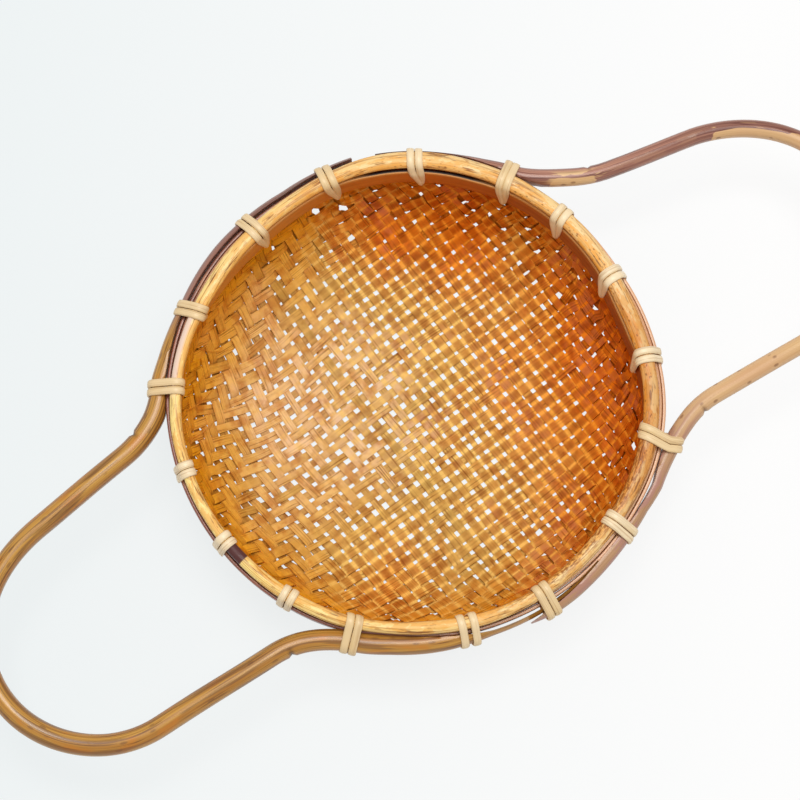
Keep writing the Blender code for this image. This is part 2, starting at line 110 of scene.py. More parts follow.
# Other places where the strips stand apart: by angle in degrees and way out on the flat mat
GAPS = (
    (1.5, 0.0724, 1.0), (6.5, 0.0803, 1.9), (17.0, 0.0637, 0.4), (53.5, 0.0800, 1.0),
    (75.5, 0.0649, 0.8), (76.5, 0.0739, 1.3), (77.0, 0.0781, 1.9), (83.5, 0.0830, 1.7),
    (99.0, 0.0790, 0.8), (102.0, 0.0667, 0.5), (164.5, 0.0715, 0.8), (282.5, 0.0604, 0.7),
    (290.0, 0.0805, 1.2), (315.0, 0.0830, 1.7), (336.0, 0.0805, 1.5), (354.5, 0.0778, 1.7),
)
GAP_REACH = 0.0062

# Rim
BAND_TOP = 0.0393
BAND_BOTTOM = 0.0297
ROD_MIDDLE_HEIGHT = 0.0410
BAND_THICKNESS = 0.0016
STRIP_HOOP_THICKNESS = 0.00134

# The rim rod by angle in degrees, then in millimetres: how far its middle lies outside the rim's
# circle, half its width, and how far the strips outside it reach past it
RIM_BY_ANGLE = (
    (0, -0.6, 2.5, 1.6), (10, 0.1, 2.6, 1.2), (20, 0.6, 2.6, 1.2), (30, 1.0, 2.7, 0.8), (40, 1.4, 2.6, 1.0),
    (50, 1.9, 2.8, 0.5), (60, 1.9, 2.8, 0.5), (70, 1.5, 2.6, 0.7), (80, -0.2, 2.3, 1.5),
    (90, -1.5, 2.2, 1.4), (100, -2.0, 2.4, 2.0), (110, -2.2, 2.3, 2.7), (120, -2.1, 2.4, 2.5),
    (130, -1.2, 1.9, 2.6), (140, -0.2, 1.8, 2.0), (150, 0.4, 1.9, 1.6), (160, 0.7, 1.8, 1.4),
    (180, 0.6, 1.7, 1.4), (200, 0.5, 2.0, 1.3), (220, 0.7, 2.0, 1.0), (230, 0.0, 1.8, 0.5),
    (240, -0.3, 2.1, 0.5), (250, -0.1, 2.1, 1.3), (260, 0.1, 1.9, 1.3), (270, -0.1, 1.9, 1.9),
    (280, -0.4, 2.2, 2.3), (290, -0.3, 2.3, 2.6), (300, 0.4, 2.5, 2.1), (310, 0.9, 2.8, 2.2),
    (320, 0.9, 2.6, 2.7), (330, 0.6, 2.6, 2.6), (340, -0.5, 2.6, 2.7), (350, -1.3, 2.8, 2.7),
)

# Where the rod is mouldy, and where it is browner than elsewhere
MOULDY_MIDDLE = (0.026, -0.0705, 0.041)
BROWN_MIDDLE = (0.060, -0.045, 0.041)

# By angle in degrees: where a crack gapes between the rod and the inner band, and where the outer
# hoops are pale instead of dark
CRACK = ((30.0, 42.0, 68.0, 76.0), (0.0, 1.0, 1.0, 0.0))
BAND_BEHIND = ((0.0, 105.0, 128.0, 250.0, 322.0, 342.0), (0.0, 0.0, 2.2, 2.2, 2.0, 0.0))
PALE_BAND = ((20.0, 1.0), (75.0, 0.9), (118.0, 0.7), (130.0, 0.1), (225.0, 0.0), (245.0, 0.6), (280.0, 1.0))
PALE_STRIP = ((10.0, 0.9), (70.0, 0.8), (85.0, 0.2), (140.0, 0.0), (225.0, 0.0), (250.0, 0.5),
              (290.0, 1.0), (330.0, 0.8))

# Lashings: how many degrees the end in the weave lies ahead of the end outside, and those whose two
# turns lie further apart than elsewhere
CANE_WIDTH = 0.0026
CANE_THICKNESS = 0.0010
CANE_PITCH = 0.00272
BOUND_RADIUS = 0.0845
CANE_LEANS = (-1.5, -1.3, -2.0, -1.7, -0.9, -1.6, 0.0, -0.8, -0.3, -0.5, -1.9, -1.2, -0.3, 0.5, 3.4,
              -1.6, -1.8)
LOOSE_LASHINGS = {"lashing_12": 1.4, "lashing_02": 0.9}
LEANING_REACH = 0.0155
LONG_LEANS = {"lashing_15": 0.0290}

# Handles. Each end by angle in degrees, from its shaved tip to where it leaves the rim, then in
# millimetres: how far out its flat side lies, and how thick it is
LEFT_ROD_DIAMETER = 0.0068
RIGHT_ROD_DIAMETER = 0.0059
HANDLE_SEAT_RADIUS = 0.0792
HANDLE_HEIGHT = 0.0368
RIM_STEP = 1.5
LEFT_UPPER_END = ((71.5, 80.1, 1.5), (80.0, 78.9, 1.6), (90.0, 77.5, 2.0), (100.0, 77.6, 2.3),
                  (110.0, 78.0, 2.4), (127.0, 78.3, 2.1), (134.0, 78.6, 2.9), (140.0, 78.7, 3.8),
                  (145.0, 79.1, 4.7))
LEFT_LOWER_END = ((284.0, 78.6, 1.2), (275.0, 79.0, 1.3), (265.0, 79.3, 1.3), (255.0, 79.2, 1.5),
                  (250.0, 78.5, 2.8), (245.0, 77.9, 4.1), (240.0, 77.3, 5.2), (232.0, 77.1, 6.0),
                  (226.0, 77.5, 6.5))
RIGHT_UPPER_END = ((66.0, 80.3, 0.6), (58.0, 80.5, 0.9), (50.0, 80.5, 1.0), (45.0, 80.5, 1.3),
                   (40.0, 80.2, 2.1), (36.0, 80.0, 3.1), (33.0, 79.9, 3.8))
RIGHT_LOWER_END = ((264.0, 81.5, 0.4), (266.0, 81.1, 1.2), (270.0, 80.6, 2.3), (275.0, 80.1, 2.8),
                   (280.0, 79.4, 3.3), (286.0, 79.0, 3.6), (292.0, 79.2, 3.5), (300.0, 80.3, 2.9),
                   (306.0, 81.3, 3.3))
BEND_LENGTH = 0.0065
LEG_SHARE = 0.77
RIGHT_UPPER_SAG = 0.18
NOTCH_LENGTH = 0.0012


# Making and placing pieces


def deselect_all():
    bpy.ops.object.select_all(action="DESELECT")


def tint(red, green, blue):
    """A colour as seen on a screen, from 0 to 255, turned into the shader's own scale."""
    parts = [value / 255 for value in (red, green, blue)]
    return (*[(p / 12.92 if p < 0.04045 else ((p + 0.055) / 1.055) ** 2.4) for p in parts], 1.0)


def straight_bar(name, sides, coarse_cuts, fine_cuts=2):
    """A straight bar along Z with many rings, ready to be laid along a route."""
    deselect_all()
    bpy.ops.mesh.primitive_cylinder_add(vertices=sides, radius=1.0, depth=1.0, end_fill_type="NGON")
    bar = bpy.context.object
    bar.name = name
    bar.data.name = name
    bpy.ops.object.mode_set(mode="EDIT")
    bpy.ops.mesh.select_mode(type="EDGE")
    for cuts in (coarse_cuts, fine_cuts):
        bpy.ops.mesh.select_all(action="DESELECT")
        body = bmesh.from_edit_mesh(bar.data)
        for edge in body.edges:
            first, second = edge.verts
            edge.select = abs(first.co.z - second.co.z) > 1e-5
        bmesh.update_edit_mesh(bar.data)
        if cuts:
            bpy.ops.mesh.subdivide(number_cuts=cuts)
    bpy.ops.object.mode_set(mode="OBJECT")
    return bar


def ring_count(coarse_cuts, fine_cuts=2):
    return (coarse_cuts + 1) * (fine_cuts + 1) + 1


def lay_bar(bar, middles, sides, ups, shape_at, tone=0.5, **marks):
    """Lays a straight bar along a route: shape_at gives each ring's (side, up) place in metres.

    The bar keeps its unbent place, its tone and its marks, by name, for its finish to read.
    """
    mesh = bar.data
    count = len(middles)
    places = np.empty(len(mesh.vertices) * 3)
    mesh.vertices.foreach_get("co", places)
    places = places.reshape(-1, 3)
    ring = np.rint((places[:, 2] + 0.5) * (count - 1)).astype(int)
    turn = np.arctan2(places[:, 1], places[:, 0])
    across, raised = shape_at(ring, turn)
    steps = np.linalg.norm(np.diff(middles, axis=0), axis=1)
    run = np.concatenate([[0.0], np.cumsum(steps)])
    laid = middles[ring] + sides[ring] * across[:, None] + ups[ring] * raised[:, None]
    mesh.vertices.foreach_set("co", laid.ravel())
    unbent = mesh.attributes.new("unbent", "FLOAT_VECTOR", "POINT")
    unbent.data.foreach_set("vector", np.stack([across, raised, run[ring]], axis=1).ravel())
    for name, value_at in {"tone": lambda ring, turn: np.full(len(ring), tone), **marks}.items():
        values = mesh.attributes.new(name, "FLOAT", "POINT")
        values.data.foreach_set("value", value_at(ring, turn))
    mesh.update()
    return bar


def join_pieces(name, parts):
    deselect_all()
    for part in parts:
        part.select_set(True)
    bpy.context.view_layer.objects.active = parts[0]
    bpy.ops.object.join()
    whole = bpy.context.object
    whole.name = name
    whole.data.name = name
    return whole


def finish_piece(piece, material, nodes, smooth_angle=40.0):
    deselect_all()
    piece.select_set(True)
    bpy.context.view_layer.objects.active = piece
    bpy.ops.object.mode_set(mode="EDIT")
    bpy.ops.mesh.select_all(action="SELECT")
    bpy.ops.mesh.normals_make_consistent(inside=False)
    bpy.ops.object.mode_set(mode="OBJECT")
    bpy.ops.object.shade_smooth_by_angle(angle=math.radians(smooth_angle))
    piece.data.materials.clear()
    piece.data.materials.append(material)
    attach(piece, "root")
    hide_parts(*nodes)
    return piece


def unit(rows):
    return rows / np.linalg.norm(rows, axis=-1, keepdims=True)


def headings(middles):
    return unit(np.gradient(middles, axis=0))


def bezier(points, share):
    points = [np.array(point, float) for point in points]
    while len(points) > 1:
        points = [a + (b - a) * share for a, b in zip(points, points[1:])]
    return points[0]


def bezier_points(points, count):
    """Points after the first control point, up to and including the last."""
    return [bezier(points, step / count) for step in range(1, count + 1)]


def around(angle, radius):
    turn = math.radians(angle)
    return np.array([math.cos(turn), math.sin(turn)]) * radius


def evenly(points, count):
    """The same route with evenly spaced points."""
    points = np.array(points)
    run = np.concatenate([[0.0], np.cumsum(np.linalg.norm(np.diff(points, axis=0), axis=1))])
    wanted = np.linspace(0.0, run[-1], count)
    return np.stack([np.interp(wanted, run, points[:, i]) for i in range(points.shape[1])], axis=1)


def eased_ring(points, times):
    for _ in range(times):
        points = points * 0.5 + (np.roll(points, 1, axis=0) + np.roll(points, -1, axis=0)) * 0.25
    return points


def eased_by_angle(table):
    """Each column of a table by angle, in metres and eased, at every whole degree."""
    rows = np.array(table, float)
    columns = [np.interp(np.arange(360.0), rows[:, 0], column, period=360.0) for column in rows[:, 1:].T]
    return eased_ring(np.column_stack(columns), 24) / 1000


RIM_EASED = eased_by_angle(RIM_BY_ANGLE)


def round_rim(angles):
    """How far the rim rod's middle is out of round, half its width, and the outer strips' reach."""
    return [np.interp(angles, np.arange(360.0), column, period=360.0) for column in RIM_EASED.T]


# Finishes


def put(tree, kind, inputs=None, **settings):
    """Adds a node, sets it up, and fills its inputs with values or with other nodes' outputs."""
    made = tree.nodes.new(kind)
    for name, value in settings.items():
        setattr(made, name, value)
    for name, value in (inputs or {}).items():
        socket = made.inputs[name]
        if isinstance(value, bpy.types.NodeSocket):
            tree.links.new(value, socket)
        else:
            socket.default_value = value
    return made


def maths(tree, operation, first, second=0.0, clamp=False):
    return put(
        tree, "ShaderNodeMath", {0: first, 1: second}, operation=operation, use_clamp=clamp
    ).outputs[0]


def blended(tree, share, first, second, way="MIX"):
    made = put(tree, "ShaderNodeMix", {0: share, 6: first, 7: second}, data_type="RGBA", blend_type=way)
    return made.outputs[2]


def stretched(tree, value, low, high, new_low=0.0, new_high=1.0):
    made = put(
        tree, "ShaderNodeMapRange",
        {"Value": value, "From Min": low, "From Max": high, "To Min": new_low, "To Max": new_high},
    )
    return made.outputs["Result"]


def ramp(tree, share, stops):
    made = put(tree, "ShaderNodeValToRGB", {"Fac": share})
    band = made.color_ramp
    while len(band.elements) < len(stops):
        band.elements.new(1.0)
    for element, (place, colour) in zip(band.elements, stops):
        element.position = place
        element.color = colour
    return made.outputs["Color"]


def new_group(name, inputs, outputs):
    group = bpy.data.node_groups.new(name, "ShaderNodeTree")
    for label, kind, value in inputs:
        socket = group.interface.new_socket(label, in_out="INPUT", socket_type=kind)
        if value is not None:
            socket.default_value = value
    for label, kind in outputs:
        group.interface.new_socket(label, in_out="OUTPUT", socket_type=kind)
    return group, put(group, "NodeGroupInput").outputs, put(group, "NodeGroupOutput").inputs


def lengthwise_fibres():
    """Fine streaks and dark lines that run along a piece, from its unbent place."""
    group, given, wanted = new_group(
        "lengthwise_fibres",
        [("Place", "NodeSocketVector", None), ("Fineness", "NodeSocketFloat", 1.0),
         ("Shift", "NodeSocketFloat", 0.0)],
        [("Streaks", "NodeSocketFloat"), ("Lines", "NodeSocketFloat"), ("Height", "NodeSocketFloat")],
    )
    drawn = put(group, "ShaderNodeVectorMath", {0: given["Place"], 1: (1800.0, 1800.0, 28.0)},
                operation="MULTIPLY").outputs[0]
    finer = put(group, "ShaderNodeVectorMath", {0: drawn, "Scale": given["Fineness"]},
                operation="SCALE").outputs[0]
    sideways = put(group, "ShaderNodeCombineXYZ", {"Z": given["Shift"]}).outputs[0]
    place = put(group, "ShaderNodeVectorMath", {0: finer, 1: sideways}, operation="ADD").outputs[0]
    wide = put(group, "ShaderNodeTexNoise",
               {"Vector": place, "Scale": 0.42, "Detail": 2.0, "Roughness": 0.6}).outputs[0]
    fine = put(group, "ShaderNodeTexNoise",
               {"Vector": place, "Scale": 1.3, "Detail": 2.0, "Roughness": 0.7}).outputs[0]
    split = put(group, "ShaderNodeTexNoise",
                {"Vector": place, "Scale": 0.75, "Detail": 1.0, "Roughness": 0.5}).outputs[0]
    streaks = stretched(group, maths(group, "ADD", maths(group, "MULTIPLY", wide, 0.6),
                                     maths(group, "MULTIPLY", fine, 0.4)), 0.34, 0.66)
    group.links.new(streaks, wanted["Streaks"])
    ridge = maths(group, "ABSOLUTE", maths(group, "SUBTRACT", split, 0.44))
    group.links.new(stretched(group, ridge, 0.035, 0.006), wanted["Lines"])
    group.links.new(maths(group, "ADD", wide, fine), wanted["Height"])
    return group


def patches():
    """Soft-edged patches, such as stains, bloom or worn places."""
    group, given, wanted = new_group(
        "patches",
        [("Place", "NodeSocketVector", None), ("Size", "NodeSocketFloat", 0.01),
         ("Cover", "NodeSocketFloat", 0.5), ("Softness", "NodeSocketFloat", 0.1)],
        [("Mask", "NodeSocketFloat")],
    )
    scale = maths(group, "DIVIDE", 1.0, given["Size"])
    cloud = put(group, "ShaderNodeTexNoise",
                {"Vector": given["Place"], "Scale": scale, "Detail": 3.0, "Roughness": 0.55}).outputs[0]
    middle = maths(group, "SUBTRACT", 0.72, maths(group, "MULTIPLY", given["Cover"], 0.44))
    low = maths(group, "SUBTRACT", middle, given["Softness"])
    high = maths(group, "ADD", middle, given["Softness"])
    group.links.new(stretched(group, cloud, low, high), wanted["Mask"])
    return group


def specks():
    """Small scattered dark specks and pores."""
    group, given, wanted = new_group(
        "specks",
        [("Place", "NodeSocketVector", None), ("Spacing", "NodeSocketFloat", 0.002),
         ("Share", "NodeSocketFloat", 0.3), ("Stretch", "NodeSocketFloat", 0.4)],
        [("Mask", "NodeSocketFloat")],
    )
    drawn = put(group, "ShaderNodeCombineXYZ", {"X": 1.0, "Y": 1.0, "Z": given["Stretch"]}).outputs[0]
    place = put(group, "ShaderNodeVectorMath", {0: given["Place"], 1: drawn},
                operation="MULTIPLY").outputs[0]
    cells = put(group, "ShaderNodeTexVoronoi",
                {"Vector": place, "Scale": maths(group, "DIVIDE", 1.0, given["Spacing"])})
    dots = stretched(group, cells.outputs["Distance"], 0.30, 0.18)
    split = put(group, "ShaderNodeSeparateColor", {"Color": cells.outputs["Color"]}).outputs["Red"]
    chosen = maths(group, "LESS_THAN", split, given["Share"])
    group.links.new(maths(group, "MULTIPLY", dots, chosen), wanted["Mask"])
    return group


GROUPS = {"fibres": lengthwise_fibres(), "patches": patches(), "specks": specks()}


def effect(tree, name, inputs):
    return put(tree, "ShaderNodeGroup", inputs, node_tree=GROUPS[name]).outputs


def attribute(tree, name, output="Fac"):
    return put(tree, "ShaderNodeAttribute", attribute_name=name).outputs[output]


def new_finish(name, roughness, coat=0.0, shine=0.5):
    material = bpy.data.materials.new(name)
    material.use_nodes = True
    tree = material.node_tree
    shader = tree.nodes["Principled BSDF"]
    shader.inputs["Roughness"].default_value = roughness
    shader.inputs["Coat Weight"].default_value = coat
    shader.inputs["Coat Roughness"].default_value = 0.25
    shader.inputs["Specular IOR Level"].default_value = shine
    return material, tree, shader


def connect_finish(tree, shader, colour, roughness=None, height=None, depth=0.0001, strength=0.4):
    tree.links.new(colour, shader.inputs["Base Color"])
    if roughness is not None:
        tree.links.new(roughness, shader.inputs["Roughness"])
    if height is not None:
        bump = put(tree, "ShaderNodeBump", {"Height": height, "Strength": strength, "Distance": depth})
        tree.links.new(bump.outputs[0], shader.inputs["Normal"])


def strip_finish(name):
    """Split bamboo: golden, pale where a sheen is painted on the floor, and deep orange with painted shade towards
    one side of the bowl.

    Where a strip lies on no other one, it has a painted glow as of light shining through it, and its edges carry
    painted highlights.
    """
    material, tree, shader = new_finish(name, 0.50, shine=0.04)
    unbent = attribute(tree, "unbent", "Vector")
    tone = attribute(tree, "tone")
    place = put(tree, "ShaderNodeTexCoord").outputs["Object"]
    height = put(tree, "ShaderNodeSeparateXYZ", {"Vector": place}).outputs["Z"]
    shift = maths(tree, "MULTIPLY", tone, 371.0)
    fibres = effect(tree, "fibres", {"Place": unbent, "Fineness": 1.0, "Shift": shift})
    # Painted shade: the colour deepens to orange-brown towards one side of the bowl and at the listed spots,
    # standing in for that wall's shadow and for light shining through the thin strips
    side = put(tree, "ShaderNodeVectorMath", {0: place, 1: (0.970, -0.243, 0.0)},
               operation="DOT_PRODUCT").outputs["Value"]
    wander = put(tree, "ShaderNodeTexNoise", {"Vector": place, "Scale": 45.0, "Detail": 3.0}).outputs[0]
    uneven = maths(tree, "SUBTRACT", wander, 0.5)
    depth = maths(tree, "ADD", stretched(tree, side, -0.075, 0.075), maths(tree, "MULTIPLY", uneven, 0.40))
    for middle, reach, change in SHADE_AND_LIGHT_SPOTS:
        far = put(tree, "ShaderNodeVectorMath", {0: place, 1: middle}, operation="DISTANCE").outputs["Value"]
        depth = maths(tree, "ADD", depth, stretched(tree, far, reach, reach / 4, 0.0, change))
    # Floor and wall colours, running into painted shade as the depth grows
    floor = ramp(tree, depth, [
        (0.20, tint(202, 140, 62)), (0.50, tint(150, 84, 26)), (0.70, tint(122, 58, 12)),
        (0.86, tint(126, 46, 0)), (1.00, tint(138, 36, 0)),
    ])
    wall = ramp(tree, depth, [
        (0.00, tint(222, 148, 4)), (0.40, tint(232, 138, 4)), (0.62, tint(202, 86, 0)),
        (0.84, tint(160, 36, 0)), (1.00, tint(148, 24, 0)),
    ])
    steep = stretched(tree, height, 0.003, 0.020)
    ground = blended(tree, steep, floor, wall)
    # Painted sheen: a pale pink patch on the floor that stands in for a reflection of the light
    sheen_patch = put(tree, "ShaderNodeVectorMath", {0: place, 1: SHEEN_MIDDLE}, operation="DISTANCE").outputs["Value"]
    sheen_patch = maths(tree, "ADD", stretched(tree, sheen_patch, 0.042, 0.016), maths(tree, "MULTIPLY", uneven, 1.3),
                 clamp=True)
    ground = blended(tree, maths(tree, "MULTIPLY", sheen_patch, 0.92), ground, tint(238, 204, 194))
    by_strip = ramp(tree, tone, [
        (0.00, tint(132, 98, 72)), (0.28, tint(200, 172, 142)), (0.50, tint(246, 238, 222)),
        (0.74, tint(255, 255, 252)), (1.00, tint(255, 255, 252)),
    ])
    ground = blended(tree, 1.0, ground, by_strip, "MULTIPLY")
    # The lighter colour serves both the grain's streaks and the painted highlights below
    lighter = blended(tree, stretched(tree, steep, 0.0, 1.0, 0.1, 1.0), tint(255, 214, 116), tint(255, 184, 44))
    deep_side = stretched(tree, depth, 0.45, 0.90)
    lighter = blended(tree, deep_side, lighter, tint(244, 130, 26))
    sideways = put(tree, "ShaderNodeCombineXYZ", {"X": maths(tree, "MULTIPLY", tone, 3.7)}).outputs[0]
    by_float = put(tree, "ShaderNodeVectorMath", {0: unbent, 1: (0.35, 1.0, 0.30), 2: sideways},
                   operation="MULTIPLY_ADD").outputs[0]
    # Lighter patches per float: partly bleached bamboo, partly painted highlight
    bleach_and_glint = effect(tree, "patches", {"Place": by_float, "Size": 0.0021, "Cover": 0.42,
                                        "Softness": 0.05})["Mask"]
    bleach_and_glint = maths(tree, "MULTIPLY", bleach_and_glint, stretched(tree, deep_side, 0.0, 1.0, 0.60, 0.85))
    ground = blended(tree, bleach_and_glint, ground, blended(tree, 0.42, ground, lighter))
    elsewhere = put(tree, "ShaderNodeVectorMath", {0: by_float, 1: (0.031, 0.0, 0.0)},
                    operation="ADD").outputs[0]
    dulled = effect(tree, "patches", {"Place": elsewhere, "Size": 0.0019, "Cover": 0.36, "Softness": 0.05})["Mask"]
    duller = blended(tree, deep_side, tint(204, 152, 108), tint(166, 106, 70))
    ground = blended(tree, maths(tree, "MULTIPLY", dulled, 0.60), ground,
                     blended(tree, 1.0, ground, duller, "MULTIPLY"))
    # A single layer glows against the light floor below, most of all on one side
    glow = ramp(tree, depth, [
        (0.30, tint(234, 188, 112)), (0.62, tint(255, 222, 126)), (0.85, tint(255, 184, 66)),
        (1.00, tint(250, 138, 28)),
    ])
    golden_wall = maths(tree, "MULTIPLY", steep, maths(tree, "SUBTRACT", 1.0, depth), clamp=True)
    backed = maths(tree, "MULTIPLY", stretched(tree, depth, 0.15, 0.60, 0.30, 0.95),
                   stretched(tree, golden_wall, 0.0, 0.7, 1.0, 0.22))
    alone = maths(tree, "MULTIPLY", stretched(tree, attribute(tree, "mark"), 0.12, 0.58), backed)
    colour = blended(tree, alone, ground, glow)
    # Painted shade where a strip dives under another one, and a painted highlight where it rides over it
    ride = attribute(tree, "ride")
    dive_shade = maths(tree, "MULTIPLY", stretched(tree, ride, 0.10, -0.80),
                   stretched(tree, steep, 0.0, 0.7, 0.40, 0.90))
    colour = blended(tree, dive_shade, colour, blended(tree, 1.0, colour, tint(142, 84, 52), "MULTIPLY"))
    ride_highlight = stretched(tree, ride, 0.55, 1.0, 0.0, 0.20)
    colour = blended(tree, ride_highlight, colour, lighter)
    # Painted highlights along the strips' edges
    edge = stretched(tree, maths(tree, "ABSOLUTE", attribute(tree, "edge")), 0.62, 0.95)
    edge = maths(tree, "MULTIPLY", edge, stretched(tree, maths(tree, "MAXIMUM", steep, deep_side), 0.0, 1.0, 0.30, 0.58))
    colour = blended(tree, edge, colour, blended(tree, 0.60, colour, lighter))
    colour = blended(tree, maths(tree, "MULTIPLY", fibres["Streaks"], 0.50), colour,
                     blended(tree, 0.45, colour, lighter))
    colour = blended(tree, maths(tree, "MULTIPLY", fibres["Lines"], 0.62), colour, tint(124, 56, 8))
    stain = effect(tree, "patches", {"Place": place, "Size": 0.006, "Cover": 0.34, "Softness": 0.06})["Mask"]
    colour = blended(tree, maths(tree, "MULTIPLY", stain, 0.50), colour,
                     blended(tree, 1.0, colour, tint(206, 152, 96), "MULTIPLY"))
    connect_finish(tree, shader, colour, stretched(tree, fibres["Streaks"], 0.0, 1.0, 0.55, 0.36),
                   fibres["Height"], 0.00006, 0.5)
    return material


def rim_finish(name):
    """Scraped bamboo: cream and golden blocks with fine grain, small dark specks and cracks.

    Its mark is 1 where the dark rind is left on it, and -1 where a pale sheen is painted on its outer half.
    """
    material, tree, shader = new_finish(name, 0.40, shine=0.30)
    unbent = attribute(tree, "unbent", "Vector")
    place = put(tree, "ShaderNodeTexCoord").outputs["Object"]
    side = put(tree, "ShaderNodeVectorMath", {0: place, 1: (0.970, -0.243, 0.0)},
               operation="DOT_PRODUCT").outputs["Value"]
    fibres = effect(tree, "fibres", {"Place": unbent, "Fineness": 0.6, "Shift": 3.0})
    drawn = put(tree, "ShaderNodeVectorMath", {0: unbent, 1: (1.0, 1.0, 0.30)},
                operation="MULTIPLY").outputs[0]
    long_drawn = put(tree, "ShaderNodeVectorMath", {0: unbent, 1: (1.0, 1.0, 0.09)},
                     operation="MULTIPLY").outputs[0]
    across = put(tree, "ShaderNodeSeparateXYZ", {"Vector": unbent}).outputs["X"]
    blocks = effect(tree, "patches", {"Place": drawn, "Size": 0.0024, "Cover": 0.46, "Softness": 0.012})["Mask"]
    scraped = effect(tree, "patches", {"Place": drawn, "Size": 0.0013, "Cover": 0.50, "Softness": 0.03})["Mask"]
    inner = maths(tree, "ADD", stretched(tree, across, 0.0008, -0.0018, -0.3, 1.1),
                  maths(tree, "MULTIPLY", maths(tree, "SUBTRACT", scraped, 0.5), 1.1), clamp=True)
    cracks = effect(tree, "patches", {"Place": long_drawn, "Size": 0.0009, "Cover": 0.20,
                                      "Softness": 0.03})["Mask"]
    dark = effect(tree, "patches", {"Place": drawn, "Size": 0.0014, "Cover": 0.18, "Softness": 0.03})["Mask"]
    dots = effect(tree, "specks", {"Place": unbent, "Spacing": 0.0009, "Share": 0.75, "Stretch": 0.5})["Mask"]
    pale = ramp(tree, stretched(tree, side, -0.075, 0.075), [
        (0.0, tint(255, 226, 138)), (0.5, tint(242, 202, 130)), (1.0, tint(240, 206, 148)),
    ])
    colour = blended(tree, maths(tree, "MULTIPLY", blocks, 0.62), pale, tint(232, 160, 48))
    golden = maths(tree, "MULTIPLY", inner, stretched(tree, side, -0.070, 0.0, 0.45, 0.85))
    colour = blended(tree, golden, colour, tint(240, 158, 30))
    colour = blended(tree, maths(tree, "MULTIPLY", fibres["Streaks"], 0.42), colour, tint(250, 220, 160))
    colour = blended(tree, maths(tree, "MULTIPLY", fibres["Lines"], 0.55), colour, tint(158, 84, 26))
    colour = blended(tree, maths(tree, "MULTIPLY", dark, 0.45), colour, tint(150, 78, 26))
    colour = blended(tree, maths(tree, "MULTIPLY", cracks, 0.70), colour, tint(118, 56, 22))
    speckled = stretched(tree, maths(tree, "ADD", maths(tree, "MULTIPLY", side, 14.0), inner), 0.6, 1.6)
    colour = blended(tree, maths(tree, "MULTIPLY", dots, maths(tree, "MULTIPLY", speckled, 0.75)), colour,
                     tint(140, 80, 30))
    brown = put(tree, "ShaderNodeVectorMath", {0: place, 1: BROWN_MIDDLE}, operation="DISTANCE").outputs["Value"]
    brown = maths(tree, "MULTIPLY", stretched(tree, brown, 0.046, 0.024),
                  maths(tree, "ADD", maths(tree, "MULTIPLY", fibres["Streaks"], 0.7), 0.3))
    colour = blended(tree, brown, colour, blended(tree, 1.0, colour, tint(216, 172, 112), "MULTIPLY"))
    far = put(tree, "ShaderNodeVectorMath", {0: place, 1: MOULDY_MIDDLE}, operation="DISTANCE").outputs["Value"]
    mouldy = effect(tree, "patches", {"Place": drawn, "Size": 0.0005, "Cover": 0.46, "Softness": 0.06})["Mask"]
    mouldy = maths(tree, "MULTIPLY", mouldy, stretched(tree, far, 0.050, 0.026, 0.0, 0.80))
    mouldy = maths(tree, "MULTIPLY", mouldy, stretched(tree, across, 0.0008, -0.0008, 0.25, 1.0))
    colour = blended(tree, mouldy, colour, tint(140, 72, 16))
    # Painted sheen: pale pink on the rod's outer half where its mark is -1
    sheen_side = maths(tree, "MULTIPLY", stretched(tree, attribute(tree, "mark"), -0.2, -0.8),
                      stretched(tree, across, -0.0004, 0.0003))
    colour = blended(tree, maths(tree, "MULTIPLY", sheen_side, 0.8), colour, tint(238, 214, 204))
    ragged = maths(tree, "ADD", attribute(tree, "mark"), maths(tree, "MULTIPLY", blocks, 0.25))
    colour = blended(tree, stretched(tree, ragged, 0.55, 0.70), colour, tint(88, 50, 48))
    connect_finish(tree, shader, colour, stretched(tree, blocks, 0.0, 1.0, 0.36, 0.50),
                   maths(tree, "SUBTRACT", fibres["Height"], cracks), 0.00010, 0.5)
    return material


